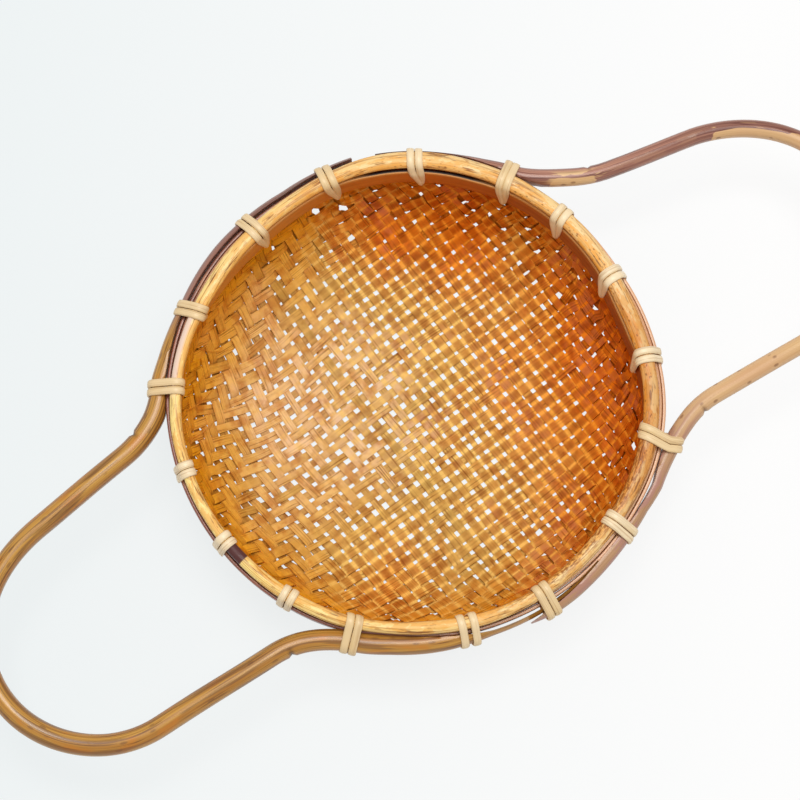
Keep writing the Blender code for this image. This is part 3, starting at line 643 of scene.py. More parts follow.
def band_finish(name):
    """The inner band: deep orange-brown with painted shade towards one side, a painted highlight along its top
    edge, and a painted shadow in the crack against the rod.
    """
    material, tree, shader = new_finish(name, 0.42, shine=0.25)
    unbent = attribute(tree, "unbent", "Vector")
    parts = put(tree, "ShaderNodeSeparateXYZ", {"Vector": unbent}).outputs
    place = put(tree, "ShaderNodeTexCoord").outputs["Object"]
    side = put(tree, "ShaderNodeVectorMath", {0: place, 1: (0.970, -0.243, 0.0)},
               operation="DOT_PRODUCT").outputs["Value"]
    fibres = effect(tree, "fibres", {"Place": unbent, "Fineness": 0.5, "Shift": 5.0})
    drawn = put(tree, "ShaderNodeVectorMath", {0: unbent, 1: (1.0, 1.0, 0.12)},
                operation="MULTIPLY").outputs[0]
    mottle = effect(tree, "patches", {"Place": drawn, "Size": 0.0022, "Cover": 0.40, "Softness": 0.10})["Mask"]
    # Painted shade: the band darkens to brown towards one side of the bowl
    ground = ramp(tree, stretched(tree, side, -0.075, 0.075), [
        (0.0, tint(224, 156, 60)), (0.35, tint(216, 136, 48)), (0.68, tint(206, 106, 30)), (1.0, tint(140, 46, 14)),
    ])
    colour = blended(tree, maths(tree, "MULTIPLY", mottle, 0.4), ground,
                     blended(tree, 1.0, ground, tint(214, 170, 150), "MULTIPLY"))
    colour = blended(tree, maths(tree, "MULTIPLY", fibres["Streaks"], 0.25), colour, tint(232, 160, 70))
    # Painted highlight along the band's top edge
    top = stretched(tree, parts["Y"], 0.0036, 0.0046)
    colour = blended(tree, maths(tree, "MULTIPLY", top, 0.75), colour, tint(226, 166, 92))
    # Painted shadow: near-black where the band gapes from the rod, as shade in the gap under it
    against_rod = stretched(tree, parts["X"], -0.0005, -0.0002)
    opened = effect(tree, "patches", {"Place": drawn, "Size": 0.0040, "Cover": 0.80, "Softness": 0.10})["Mask"]
    opened = maths(tree, "MULTIPLY", opened, attribute(tree, "mark"))
    crack = maths(tree, "MULTIPLY", maths(tree, "MULTIPLY", against_rod, top), opened)
    colour = blended(tree, crack, colour, tint(34, 18, 12))
    connect_finish(tree, shader, colour, None, fibres["Height"], 0.00008, 0.4)
    return material


def rind_finish(name, ground, light, patch, cover):
    """The dark outer rind of bamboo, smooth, with lengthwise grain and places where it has peeled."""
    material, tree, shader = new_finish(name, 0.32, coat=0.20, shine=0.4)
    unbent = attribute(tree, "unbent", "Vector")
    fibres = effect(tree, "fibres", {"Place": unbent, "Fineness": 0.6, "Shift": 7.0})
    drawn = put(tree, "ShaderNodeVectorMath", {0: unbent, 1: (1.0, 1.0, 0.10)},
                operation="MULTIPLY").outputs[0]
    peeled = effect(tree, "patches", {"Place": drawn, "Size": 0.0020, "Cover": cover,
                                      "Softness": 0.04})["Mask"]
    colour = blended(tree, fibres["Streaks"], ground, light)
    colour = blended(tree, maths(tree, "MULTIPLY", peeled, 0.8), colour, patch)
    colour = blended(tree, maths(tree, "MULTIPLY", fibres["Lines"], 0.6), colour, tint(72, 34, 26))
    pale = blended(tree, fibres["Streaks"], tint(208, 146, 100), tint(240, 196, 152))
    colour = blended(tree, maths(tree, "MULTIPLY", attribute(tree, "mark"), 0.9), colour, pale)
    connect_finish(tree, shader, colour, stretched(tree, peeled, 0.0, 1.0, 0.30, 0.46),
                   fibres["Height"], 0.0001, 0.4)
    return material


def golden_rattan_finish(name):
    """The left handle: golden tan, with fine straight grain, long grey-brown streaks and orange spots."""
    material, tree, shader = new_finish(name, 0.34, coat=0.30, shine=0.45)
    unbent = attribute(tree, "unbent", "Vector")
    fibres = effect(tree, "fibres", {"Place": unbent, "Fineness": 0.75, "Shift": 7.0})
    drawn = put(tree, "ShaderNodeVectorMath", {0: unbent, 1: (1.0, 1.0, 0.045)},
                operation="MULTIPLY").outputs[0]
    spread = put(tree, "ShaderNodeVectorMath", {0: unbent, 1: (1.0, 1.0, 0.28)},
                 operation="MULTIPLY").outputs[0]
    streaks = effect(tree, "patches", {"Place": drawn, "Size": 0.0016, "Cover": 0.38, "Softness": 0.03})["Mask"]
    orange = effect(tree, "patches", {"Place": spread, "Size": 0.0036, "Cover": 0.26, "Softness": 0.05})["Mask"]
    dots = effect(tree, "specks", {"Place": unbent, "Spacing": 0.0018, "Share": 0.25, "Stretch": 0.35})["Mask"]
    along = put(tree, "ShaderNodeSeparateXYZ", {"Vector": unbent}).outputs["Z"]
    colour = blended(tree, fibres["Streaks"], tint(160, 100, 32), tint(208, 158, 72))
    colour = blended(tree, maths(tree, "MULTIPLY", orange, 0.60), colour, tint(198, 122, 34))
    rind = blended(tree, fibres["Streaks"], tint(132, 88, 78), tint(178, 128, 108))
    colour = blended(tree, stretched(tree, along, 0.086, 0.072), colour, rind)
    colour = blended(tree, maths(tree, "MULTIPLY", streaks, 0.55), colour, tint(104, 68, 44))
    colour = blended(tree, maths(tree, "MULTIPLY", fibres["Lines"], 0.70), colour, tint(104, 60, 24))
    colour = blended(tree, maths(tree, "MULTIPLY", dots, 0.5), colour, tint(110, 70, 40))
    # Painted shade in the notch on the hollow side of each bend
    colour = blended(tree, attribute(tree, "mark"), colour, tint(58, 34, 22))
    connect_finish(tree, shader, colour, stretched(tree, fibres["Streaks"], 0.0, 1.0, 0.40, 0.26),
                   fibres["Height"], 0.00010, 0.5)
    return material


def pinkish_rattan_finish(name):
    """The right handle: purple-brown rind that has peeled to tan in places, and pale tan past the loop."""
    material, tree, shader = new_finish(name, 0.34, coat=0.20, shine=0.4)
    unbent = attribute(tree, "unbent", "Vector")
    parts = put(tree, "ShaderNodeSeparateXYZ", {"Vector": unbent}).outputs
    fibres = effect(tree, "fibres", {"Place": unbent, "Fineness": 0.75, "Shift": 11.0})
    drawn = put(tree, "ShaderNodeVectorMath", {0: unbent, 1: (1.0, 1.0, 0.16)},
                operation="MULTIPLY").outputs[0]
    flakes = effect(tree, "patches", {"Place": drawn, "Size": 0.0030, "Cover": 0.42, "Softness": 0.008})["Mask"]
    clouds = effect(tree, "patches", {"Place": drawn, "Size": 0.0070, "Cover": 0.45, "Softness": 0.12})["Mask"]
    dots = effect(tree, "specks", {"Place": unbent, "Spacing": 0.0022, "Share": 0.30, "Stretch": 0.6})["Mask"]
    rind = blended(tree, fibres["Streaks"], tint(104, 58, 50), tint(188, 136, 116))
    rind = blended(tree, maths(tree, "MULTIPLY", fibres["Lines"], 0.7), rind, tint(92, 46, 38))
    peeled = blended(tree, fibres["Streaks"], tint(204, 160, 108), tint(228, 192, 142))
    peeled = blended(tree, maths(tree, "MULTIPLY", clouds, 0.35), peeled, tint(206, 154, 122))
    peeled = blended(tree, maths(tree, "MULTIPLY", dots, 0.6), peeled, tint(122, 72, 40))
    past_loop = stretched(tree, parts["Z"], 0.150, 0.200)
    near_tip = stretched(tree, parts["Z"], 0.266, 0.292)
    inner_side = stretched(tree, parts["X"], 0.0001, 0.0014)
    # How far the inner side is peeled, by way along the rod in fifths of a metre
    peeled_at = ramp(tree, maths(tree, "MULTIPLY", parts["Z"], 5.0), [
        (0.280, (0.0, 0.0, 0.0, 1.0)), (0.295, (1.0, 1.0, 1.0, 1.0)), (0.358, (1.0, 1.0, 1.0, 1.0)),
        (0.382, (0.0, 0.0, 0.0, 1.0)), (0.560, (0.0, 0.0, 0.0, 1.0)), (0.578, (1.0, 1.0, 1.0, 1.0)),
    ])
    few_flakes = maths(tree, "MULTIPLY", flakes, maths(tree, "ADD", maths(tree, "MULTIPLY", peeled_at, 0.9), 0.1))
    ragged = maths(tree, "ADD", maths(tree, "MULTIPLY", inner_side, peeled_at),
                   maths(tree, "MULTIPLY", maths(tree, "SUBTRACT", clouds, 0.5), 0.7))
    peeling = maths(tree, "MAXIMUM", maths(tree, "MULTIPLY", few_flakes, stretched(tree, parts["X"], -0.0016, 0.0)),
                    stretched(tree, ragged, 0.52, 0.60))
    bare = maths(tree, "MAXIMUM", peeling, past_loop)
    bare = maths(tree, "SUBTRACT", bare, maths(tree, "MULTIPLY", near_tip, 0.45), clamp=True)
    colour = blended(tree, bare, rind, peeled)
    greyed = effect(tree, "patches", {"Place": drawn, "Size": 0.0024, "Cover": 0.50, "Softness": 0.03})["Mask"]
    colour = blended(tree, maths(tree, "MULTIPLY", greyed, maths(tree, "MULTIPLY", near_tip, 0.85)), colour,
                     tint(178, 130, 116))
    # Painted shade in the notch on the hollow side of each bend
    colour = blended(tree, attribute(tree, "mark"), colour, tint(96, 58, 36))
    connect_finish(tree, shader, colour, stretched(tree, bare, 0.0, 1.0, 0.28, 0.44),
                   fibres["Height"], 0.00010, 0.5)
    return material


def cane_finish(name):
    """Peeled cane: cream, slightly glossy, with faint yellow streaks and fine lines."""
    material, tree, shader = new_finish(name, 0.38, coat=0.12, shine=0.3)
    unbent = attribute(tree, "unbent", "Vector")
    tone = attribute(tree, "tone")
    fibres = effect(tree, "fibres", {"Place": unbent, "Fineness": 0.7,
                                     "Shift": maths(tree, "MULTIPLY", tone, 97.0)})
    drawn = put(tree, "ShaderNodeVectorMath", {0: unbent, 1: (1.0, 1.0, 0.2)},
                operation="MULTIPLY").outputs[0]
    tinge = effect(tree, "patches", {"Place": drawn, "Size": 0.0022, "Cover": 0.32, "Softness": 0.12})["Mask"]
    ground = ramp(tree, tone, [(0.0, tint(232, 202, 152)), (0.5, tint(240, 214, 170)),
                               (1.0, tint(246, 226, 190))])
    colour = blended(tree, maths(tree, "MULTIPLY", tinge, 0.45), ground, tint(212, 176, 104))
    colour = blended(tree, maths(tree, "MULTIPLY", fibres["Lines"], 0.35), colour, tint(168, 120, 66))
    connect_finish(tree, shader, colour, None, fibres["Height"], 0.00006, 0.4)
    return material


# The woven bowl


def mat_meridian():
    """The mat's middle, from the bowl's axis to its edge: runs, radii and heights."""
    run = RIM_RADIUS + MAT_THICKNESS / 2 - FLOOR_RADIUS
    start = (FLOOR_RADIUS, 0.0)
    end = (RIM_RADIUS + MAT_THICKNESS / 2, WALL_STRAIGHT)
    pulls = [(FLOOR_RADIUS + run * FLOOR_PULL_SHARE, 0.0),
             (end[0] - run * WALL_LEAN_SHARE, WALL_STRAIGHT * (1 - WALL_PULL_SHARE))]
    outer = [(0.0, 0.0), start, *bezier_points([start, *pulls, end], 48), (end[0], WALL_TOP)]
    outer = evenly(outer, 400)
    slope = headings(outer)
    middle = outer + np.stack([-slope[:, 1], slope[:, 0]], axis=1) * MAT_THICKNESS / 2
    middle[0, 0] = 0.0
    steps = np.linalg.norm(np.diff(middle, axis=0), axis=1)
    return np.concatenate([[0.0], np.cumsum(steps)]), middle[:, 0], middle[:, 1], slope


MERIDIAN = mat_meridian()
MAT_RADIUS = MERIDIAN[0][-1]


def drawn_up(places):
    """Flat places on the mat, drawn up into the bowl: their points and the way up off the mat."""
    runs, radii, heights, slope = MERIDIAN
    far = np.maximum(np.hypot(places[:, 0], places[:, 1]), 1e-9)
    out = places / far[:, None]
    radius, height = np.interp(far, runs, radii), np.interp(far, runs, heights)
    out_of_round = round_rim(np.degrees(np.arctan2(places[:, 1], places[:, 0])))[0]
    radius = radius + out_of_round * np.clip((height - 0.004) / 0.030, 0.0, 1.0) ** 1.5
    rise = unit(np.stack([np.interp(far, runs, slope[:, 0]), np.interp(far, runs, slope[:, 1])], axis=1))
    points = np.column_stack([out * radius[:, None], height])
    ups = np.column_stack([-out * rise[:, 1:2], rise[:, 0]])
    return points, ups


def strip_offset(place):
    """How far a strip lies from the middle one: evenly spaced on the floor, closer up the wall."""
    past_even = max(abs(place) - EVEN_STRIPS, 0.0)
    closer = (STRIP_PITCH - RIM_PITCH) * past_even ** 2 / (STRIP_COUNT - 2 * EVEN_STRIPS)
    return math.copysign(abs(place) * STRIP_PITCH - closer, place)


def strip_set(heading, seed):
    """One set of strips: its directions, and each strip's offset, width and tone."""
    pick = random.Random(seed)
    turn = math.radians(heading)
    along = np.array([math.cos(turn), math.sin(turn)])
    aside = np.array([-math.sin(turn), math.cos(turn)])
    strips = []
    for i in range(STRIP_COUNT):
        widths = SLIVER_WIDTHS if pick.random() < 0.06 else STRIP_WIDTHS
        strips.append({
            "offset": strip_offset(i - (STRIP_COUNT - 1) / 2) + pick.uniform(-0.00030, 0.00030),
            "width": pick.uniform(*widths),
            "tone": min(max(pick.gauss(0.52, 0.20), 0.12), 1.0),
            "phase": pick.uniform(0.0, math.tau),
            "wander": pick.uniform(0.00005, 0.00022),
        })
    return along, aside, strips


LASHING_ANGLES = {}
for lashing_name in sorted(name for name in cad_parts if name.startswith("lashing_")):
    low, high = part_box(lashing_name)
    LASHING_ANGLES[lashing_name] = math.degrees(math.atan2(low[1] + high[1], low[0] + high[0])) % 360.0


def pulled_round(places):
    """On one side the weave is turned a little out of line."""
    angle, radius, degrees, reach = SWIRL
    middle = around(angle, radius)
    away = places - middle
    turn = math.radians(degrees) * np.exp(-(away ** 2).sum(axis=1) / (2 * reach ** 2))
    cosine, sine = np.cos(turn), np.sin(turn)
    return middle + np.column_stack([away[:, 0] * cosine - away[:, 1] * sine,
                                     away[:, 0] * sine + away[:, 1] * cosine])


def pushed_aside(places):
    """Strips stand apart where the lashings' cane goes through the weave."""
    runs, _, heights, _ = MERIDIAN
    hole_run = np.interp(BAND_BOTTOM - 0.0012, heights[120:], runs[120:])
    for (name, angle), lean in zip(LASHING_ANGLES.items(), CANE_LEANS):
        wider = RAGGED_HOLES.get(name, 1.0)
        away = places - around(angle + lean, hole_run - 0.0012 * wider)
        far = np.maximum(np.linalg.norm(away, axis=1), 1e-6)
        push = 0.0009 * wider * np.clip(1.0 - far / (0.0042 + 0.0014 * wider), 0.0, 1.0)
        places = places + away / far[:, None] * push[:, None]
    for angle, radius, wider in GAPS:
        away = places - around(angle, radius)
        far = np.maximum(np.linalg.norm(away, axis=1), 1e-6)
        push = 0.0010 * wider * np.clip(1.0 - far / GAP_REACH, 0.0, 1.0)
        places = places + away / far[:, None] * push[:, None]
    return places


def shut_weave(places):
    """How far the weave is closed at places on the flat mat: most near the rim, never at a gap."""
    angles, far = np.degrees(np.arctan2(places[:, 1], places[:, 0])), np.linalg.norm(places, axis=1)
    closed = np.interp(angles, *np.array(CLOSED).T, period=360.0) * np.clip((far - 0.048) / 0.018, 0.0, 1.0)
    for angle, radius, _ in GAPS:
        away = np.linalg.norm(places - around(angle, radius), axis=1)
        closed = closed * np.clip(away / GAP_REACH, 0.0, 1.0) ** 1.5
    return closed


def weave_strips(name, own, other, over_when, material):
    along, aside, strips = own
    _, other_aside, others = other
    lean = along @ other_aside
    parts = []
    for i, strip in enumerate(strips):
        reach = MAT_RADIUS ** 2 - strip["offset"] ** 2
        if reach <= 0.01 ** 2:
            continue
        reach = math.sqrt(reach)
        crossings = []
        for j, crossed in enumerate(others):
            run = (crossed["offset"] - strip["offset"] * (aside @ other_aside)) / lean
            if abs(run) < reach - 0.0030:
                crossings.append((run, 1.0 if over_when(i, j) else -1.0))
        crossings.sort()
        if len(crossings) < 2:
            continue
        # Each station: how far along the strip, how high it rides, and how far it is from any other strip
        stations = [(-reach, 0.0, 0.0), (-reach + 0.0004, 0.0, 0.0)]
        before = (-reach, 0.0)
        for run, side in crossings:
            stations.append(((before[0] + run) / 2, (before[1] + side) * 0.54, 1.0))
            for step in (-0.31, 0.0, 0.31):
                changes = before[1] != side if step < 0 else False
                stations.append((run + step * STRIP_PITCH, side * (0.85 if changes else 1.0),
                                 abs(step) * 0.8))
            before = (run, side)
        stations += [((before[0] + reach) / 2, before[1] * 0.5, 0.5), (reach - 0.0004, 0.0, 0.0),
                     (reach, 0.0, 0.0)]
        runs, rises, alone = np.array(stations).T
        sway = strip["wander"] * np.sin(runs / 0.006 + strip["phase"])
        places = along * runs[:, None] + aside * strip["offset"]
        far = np.hypot(places[:, 0], places[:, 1])
        steep = np.clip((far - FLOOR_RADIUS) / 0.036, 0.0, 1.0)
        places = places + aside * (sway * (1.0 + 2.5 * steep))[:, None]
        places = pushed_aside(pulled_round(places))
        far = np.hypot(places[:, 0], places[:, 1])
        places *= np.minimum(1.0, (MAT_RADIUS - 0.0002) / far)[:, None]
        points, ups = drawn_up(places)
        middles = points + ups * (rises * (STRIP_RISE + (WALL_RISE - STRIP_RISE) * steep))[:, None]
        sides = unit(np.cross(ups, headings(middles)))
        ups = unit(np.cross(headings(middles), sides))
        half = strip["width"] / 2 * (1.0 + 0.05 * np.sin(runs / 0.009 + strip["phase"] * 3))
        fuller = 0.11 * np.clip(places @ FULL_SIDE / FLOOR_RADIUS, 0.0, 1.0)
        half = np.minimum(half * (1.0 + 0.12 * steep + 0.30 * shut_weave(places) + fuller), WIDEST_STRIP / 2)
        bar = straight_bar("strip", 6, len(crossings), 3)

        def flat(ring, turn, half=half):
            level = np.sin(turn)
            across = np.sign(np.round(np.cos(turn), 6)) * np.where(abs(level) < 0.1, 1.0, 0.90)
            return across * half[ring], np.sign(np.round(level, 6)) * STRIP_THICKNESS / 2

        parts.append(lay_bar(
            bar, middles, sides, ups, flat, strip["tone"],
            mark=lambda ring, turn, alone=alone: alone[ring],
            ride=lambda ring, turn, rises=rises: rises[ring],
            edge=lambda ring, turn: np.where(abs(np.sin(turn)) < 0.1, 1.0, 0.90)))
    return finish_piece(join_pieces(name, parts), material, ["woven_bowl"], 50.0)


def make_weave():
    across, along = strip_set(ACROSS_HEADING, 11), strip_set(ALONG_HEADING, 29)
    material = strip_finish("split_bamboo")
    weave_strips("weave_across", across, along, lambda i, j: (i + j) % 4 < 2, material)
    weave_strips("weave_along", along, across, lambda i, j: (i + j) % 4 >= 2, material)
    make_frays(material)


def make_frays(material):
    """Thin fibres that have come loose from the strips and lie across the weave."""
    pick = random.Random(23)
    parts = []
    for first, last, bulge in FRAYS:
        start, finish = around(*first), around(*last)
        shares = np.linspace(0.0, 1.0, ring_count(9))
        aside = np.array([finish[1] - start[1], start[0] - finish[0]]) * bulge
        places = start + (finish - start) * shares[:, None] + aside * (shares * (1.0 - shares))[:, None] * 4.0
        points, ups = drawn_up(places)
        lift = 0.0009 + pick.uniform(0.0002, 0.0010) * np.sin(shares * math.pi)
        middles = points + ups * lift[:, None]
        sides = unit(np.cross(ups, headings(middles)))
        thick = pick.uniform(0.00013, 0.00022) * (1.0 - 0.6 * shares)

        def thin(ring, turn, thick=thick):
            return np.cos(turn) * thick[ring], np.sin(turn) * thick[ring]

        parts.append(lay_bar(straight_bar("fibre", 5, 9), middles, sides, ups, thin, 0.9))
    return finish_piece(join_pieces("loose_fibres", parts), material, ["woven_bowl"])


# The rim


def round_hoop(name, radius_at, half_out_at, height, half_up, joint, power, material, node,
               flat_under=False, uneven=0.0, marked=((0.0, 0.0),), seed=3):
    """A hoop bent from a straight bar; its ends meet under a lashing."""
    coarse = 89
    count = ring_count(coarse)
    angles = joint + np.linspace(-1.0, 361.0, count)
    turns = np.radians(angles)
    pick = random.Random(seed)
    waves = [(pick.randint(3, 23), pick.uniform(0.0, math.tau), pick.uniform(0.3, 1.0)) for _ in range(8)]
    wave = sum(size * np.sin(turns * pitch + phase) for pitch, phase, size in waves) / 3.0
    out = np.column_stack([np.cos(turns), np.sin(turns), np.zeros(count)])
    middles = out * (radius_at(angles) + wave * uneven)[:, None]
    middles[:, 2] = height + np.roll(wave, 31) * uneven * 0.6
    ups = np.tile([0.0, 0.0, 1.0], (count, 1))
    marked = np.array(marked)
    marks = np.interp(angles, marked[:, 0], marked[:, 1], period=360.0)
    half_out = half_out_at(angles) * (1.0 + np.roll(wave, 57) * uneven * 120.0)

    def section(ring, turn):
        cosine, sine = np.cos(turn), np.sin(turn)
        across = np.sign(cosine) * abs(cosine) ** power * half_out[ring]
        raised = np.sign(sine) * abs(sine) ** power * half_up
        if flat_under:
            raised = np.where(sine < 0.0, raised * 0.5, raised)
        return across, raised

    bar = lay_bar(straight_bar(name, 16, coarse), middles, out, ups, section,
                  mark=lambda ring, turn: marks[ring])
    return finish_piece(bar, material, [node])


def rod_radius_at(angles):
    return RIM_RADIUS + round_rim(angles)[0]


def inner_band_at(angles):
    """The inner band peeps out from under the rod, further where a crack gapes, and else lies behind the weave."""
    middle, half, _ = round_rim(angles)
    gap, behind = [np.interp(angles, *table, period=360.0) for table in (CRACK, BAND_BEHIND)]
    return RIM_RADIUS + middle - half + 0.0005 - 0.0008 * gap + behind / 1000


def strip_hoop_at(angles):
    middle, half, reach = round_rim(angles)
    return RIM_RADIUS + middle + half + reach - STRIP_HOOP_THICKNESS / 2


def outer_band_at(angles):
    inside_strip = strip_hoop_at(angles) - STRIP_HOOP_THICKNESS / 2 - 0.0001 - BAND_THICKNESS / 2
    return np.maximum(inside_strip, rod_radius_at(angles) + 0.0011)


def same_all_round(size):
    return lambda angles: np.full(len(angles), size)


def make_rim():
    middle = (BAND_TOP + BAND_BOTTOM) / 2
    half_band = (BAND_TOP - BAND_BOTTOM) / 2
    band = same_all_round(BAND_THICKNESS / 2)
    rind = rind_finish("dark_bamboo_rind", tint(116, 56, 42), tint(158, 92, 66), tint(196, 136, 96), 0.24)
    hoops = [
        round_hoop("rim_hoop", rod_radius_at, lambda angles: round_rim(angles)[1], ROD_MIDDLE_HEIGHT,
                   0.0018, 186.8, 0.9, rim_finish("scraped_bamboo"), "rim_rod",
                   flat_under=True, uneven=0.00006,
                   marked=[(124.0, 0.0), (130.0, -1.0), (145.0, -1.0), (151.0, 0.0), (187.5, 0.0),
                           (188.6, 1.0), (192.2, 1.0), (193.6, 0.0)]),
        round_hoop("inner_hoop", inner_band_at, band, middle, half_band, 78.4, 0.35,
                   band_finish("brown_bamboo"), "inner_band", uneven=0.00004,
                   marked=list(zip(*CRACK)), seed=8),
        round_hoop("outer_hoop", outer_band_at, band, middle, half_band, 314.7, 0.35, rind,
                   "outer_band", uneven=0.00003, marked=PALE_BAND, seed=5),
        round_hoop("outer_strip_hoop", strip_hoop_at, same_all_round(STRIP_HOOP_THICKNESS / 2), 0.0348,
                   0.0037, 127.2, 0.45, rind, "outer_strip", uneven=0.00003,
                   marked=PALE_STRIP, seed=6),
    ]
    return hoops


# The lashings


def lashing_loop(angle, bound):
    """The middle of the cane's way round the pieces it binds, as (radius, height) from the weave's hole."""
    out = around(angle, 1.0)
    section = []
    for piece in bound:
        mesh = piece.data
        places = np.empty(len(mesh.vertices) * 3)
        mesh.vertices.foreach_get("co", places)
        places = places.reshape(-1, 3)
        beside, far = places[:, 1] * out[0] - places[:, 0] * out[1], places[:, :2] @ out
        near = (abs(beside) < 0.0014) & (far > 0.06) & (far < 0.093)
        if near.any() and far[near].min() < BOUND_RADIUS:
            section.append(np.column_stack([far, places[:, 2]])[near])
    section = np.vstack(section)
    hull = section[convex_hull_2d([Vector(point) for point in section])]
    loop = evenly(np.vstack([hull, hull[:1]]), 97)[:-1]
    loop = eased_ring(loop, 3)
    ways = unit(np.roll(loop, -1, axis=0) - np.roll(loop, 1, axis=0))
    inward = np.column_stack([-ways[:, 1], ways[:, 0]])
    if ((loop.mean(axis=0) - loop) * inward).sum() < 0:
        inward = -inward
    loop = loop - inward * CANE_THICKNESS * 0.5
    hole = np.argmin(np.hypot(loop[:, 0] - hull[:, 0].min(), loop[:, 1] - hull[:, 1].min()))
    loop = np.roll(loop, -hole, axis=0)
    if loop[8, 1] < loop[-8, 1]:
        loop = np.roll(loop[::-1], 1, axis=0)
    return loop


def make_lashings(bound):
    material = cane_finish("peeled_cane")
    pick = random.Random(17)
    for (name, angle), lean in zip(LASHING_ANGLES.items(), CANE_LEANS):
        loop = lashing_loop(angle, bound)
        coarse = 39
        count = ring_count(coarse)
        turns = np.linspace(0.0, 1.995, count)
        way = np.vstack([loop, loop[:1]])
        share = np.concatenate([[0.0], np.cumsum(np.linalg.norm(np.diff(way, axis=0), axis=1))])
        length = share[-1]
        share /= length
        part = turns % 1.0
        radius, height = np.interp(part, share, way[:, 0]), np.interp(part, share, way[:, 1])
        from_hole = np.minimum(part, 1.0 - part) * length
        spread = 0.10 + 0.90 * np.clip(from_hole / 0.0105, 0.0, 1.0) ** 0.85
        second = np.clip((turns - 0.93) / 0.14, 0.0, 1.0)
        second = second * second * (3.0 - 2.0 * second)
        turn_pitch = CANE_PITCH * LOOSE_LASHINGS.get(name, 1.0)
        shift = (second * 2.0 - 1.0) * turn_pitch / 2 * spread
        leaning = np.clip(1.0 - from_hole / LONG_LEANS.get(name, LEANING_REACH), 0.0, 1.0)
        shift += math.radians(lean) * RIM_RADIUS * leaning * leaning * (3.0 - 2.0 * leaning)
        # Where the two turns come together, the second one lies on the first
        radius = radius - np.where(part < 0.5, 1.0, 0.0) * second * (1.0 - spread) * CANE_THICKNESS * 0.6
        out = np.array([*around(angle, 1.0), 0.0])
        along = np.array([-out[1], out[0], 0.0])
        middles = out * radius[:, None] + along * shift[:, None]
        middles[:, 2] = height
        ways = headings(middles)
        sides = unit(np.tile(along, (count, 1)) - ways * (ways @ along)[:, None])
        ups = np.cross(ways, sides)
        centre = np.array([*(out[:2] * loop[:, 0].mean()), loop[:, 1].mean()])
        if ((middles - centre) * ups).sum() < 0:
            ups = -ups
        width = CANE_WIDTH * (0.44 + 0.56 * np.clip(from_hole / 0.0085, 0.0, 1.0))
        width *= pick.uniform(0.95, 1.0)

        def half_round(ring, turn, width=width):
            cosine, sine = np.cos(turn), np.sin(turn)
            across = np.sign(cosine) * abs(cosine) ** 0.75 * width[ring] / 2
            raised = np.where(sine > 0, sine * CANE_THICKNESS * 0.5, sine * CANE_THICKNESS * 0.42)
            return across, raised

        bar = lay_bar(straight_bar(name + "_cane", 10, coarse), middles, sides, ups, half_round,
                      pick.random())
        finish_piece(bar, material, [name], 60.0)


# The handles


def end_on_rim(end, rod_radius):
    """The rod's middle and how far in it is cut flat, from its shaved tip to where it leaves the rim."""
    angles, seats, thicknesses = np.array(end, float).T
    steps = math.ceil(abs(angles[-1] - angles[0]) / RIM_STEP)
    stations = []
    for share in np.linspace(0.0, 1.0, steps + 1):
        angle = angles[0] + (angles[-1] - angles[0]) * share
        shares = (angles - angles[0]) / (angles[-1] - angles[0])
        cut = rod_radius - np.interp(share, shares, thicknesses) / 1000
        stations.append((*around(angle, np.interp(share, shares, seats) / 1000 - cut), cut))
    return stations


def half_handle(end, bend, standoff, rod_radius, leg_end, crown, sag=0.40):
    stations = end_on_rim(end, rod_radius)
    leaving = end[-1][0]
    whole_cut = -rod_radius * 0.966
    seat = HANDLE_SEAT_RADIUS - rod_radius * math.cos(math.radians(150.0))
    start = np.array(stations[-1][:2])
    corner = around(bend, seat + standoff)
    onward = math.copysign(90.0, math.sin(math.radians(bend - leaving)))
    pull = start + around(leaving + onward, np.linalg.norm(corner - start) * sag)
    before = corner + unit(pull - corner) * BEND_LENGTH
    after = corner + unit(leg_end - corner) * BEND_LENGTH
    leg = bezier_points([start, pull, before], 14)
    leg += bezier_points([before, corner, after], 12)
    leg += [after + (leg_end - after) * step / 24 for step in range(1, 25)]
    outward = unit(leg[-1] - leg[-2])
    leg_pull = leg_end + outward * abs(crown[0] - leg_end[0]) * 0.55
    crown_pull = crown + np.array([0.0, leg_end[1] - crown[1]]) * 0.55
    leg += bezier_points([leg_end, leg_pull, crown_pull, crown], 36)
    cuts = np.interp(range(len(leg)), [0, 9], [stations[-1][2], whole_cut])
    return stations + [(*point, cut) for point, cut in zip(leg, cuts)], corner


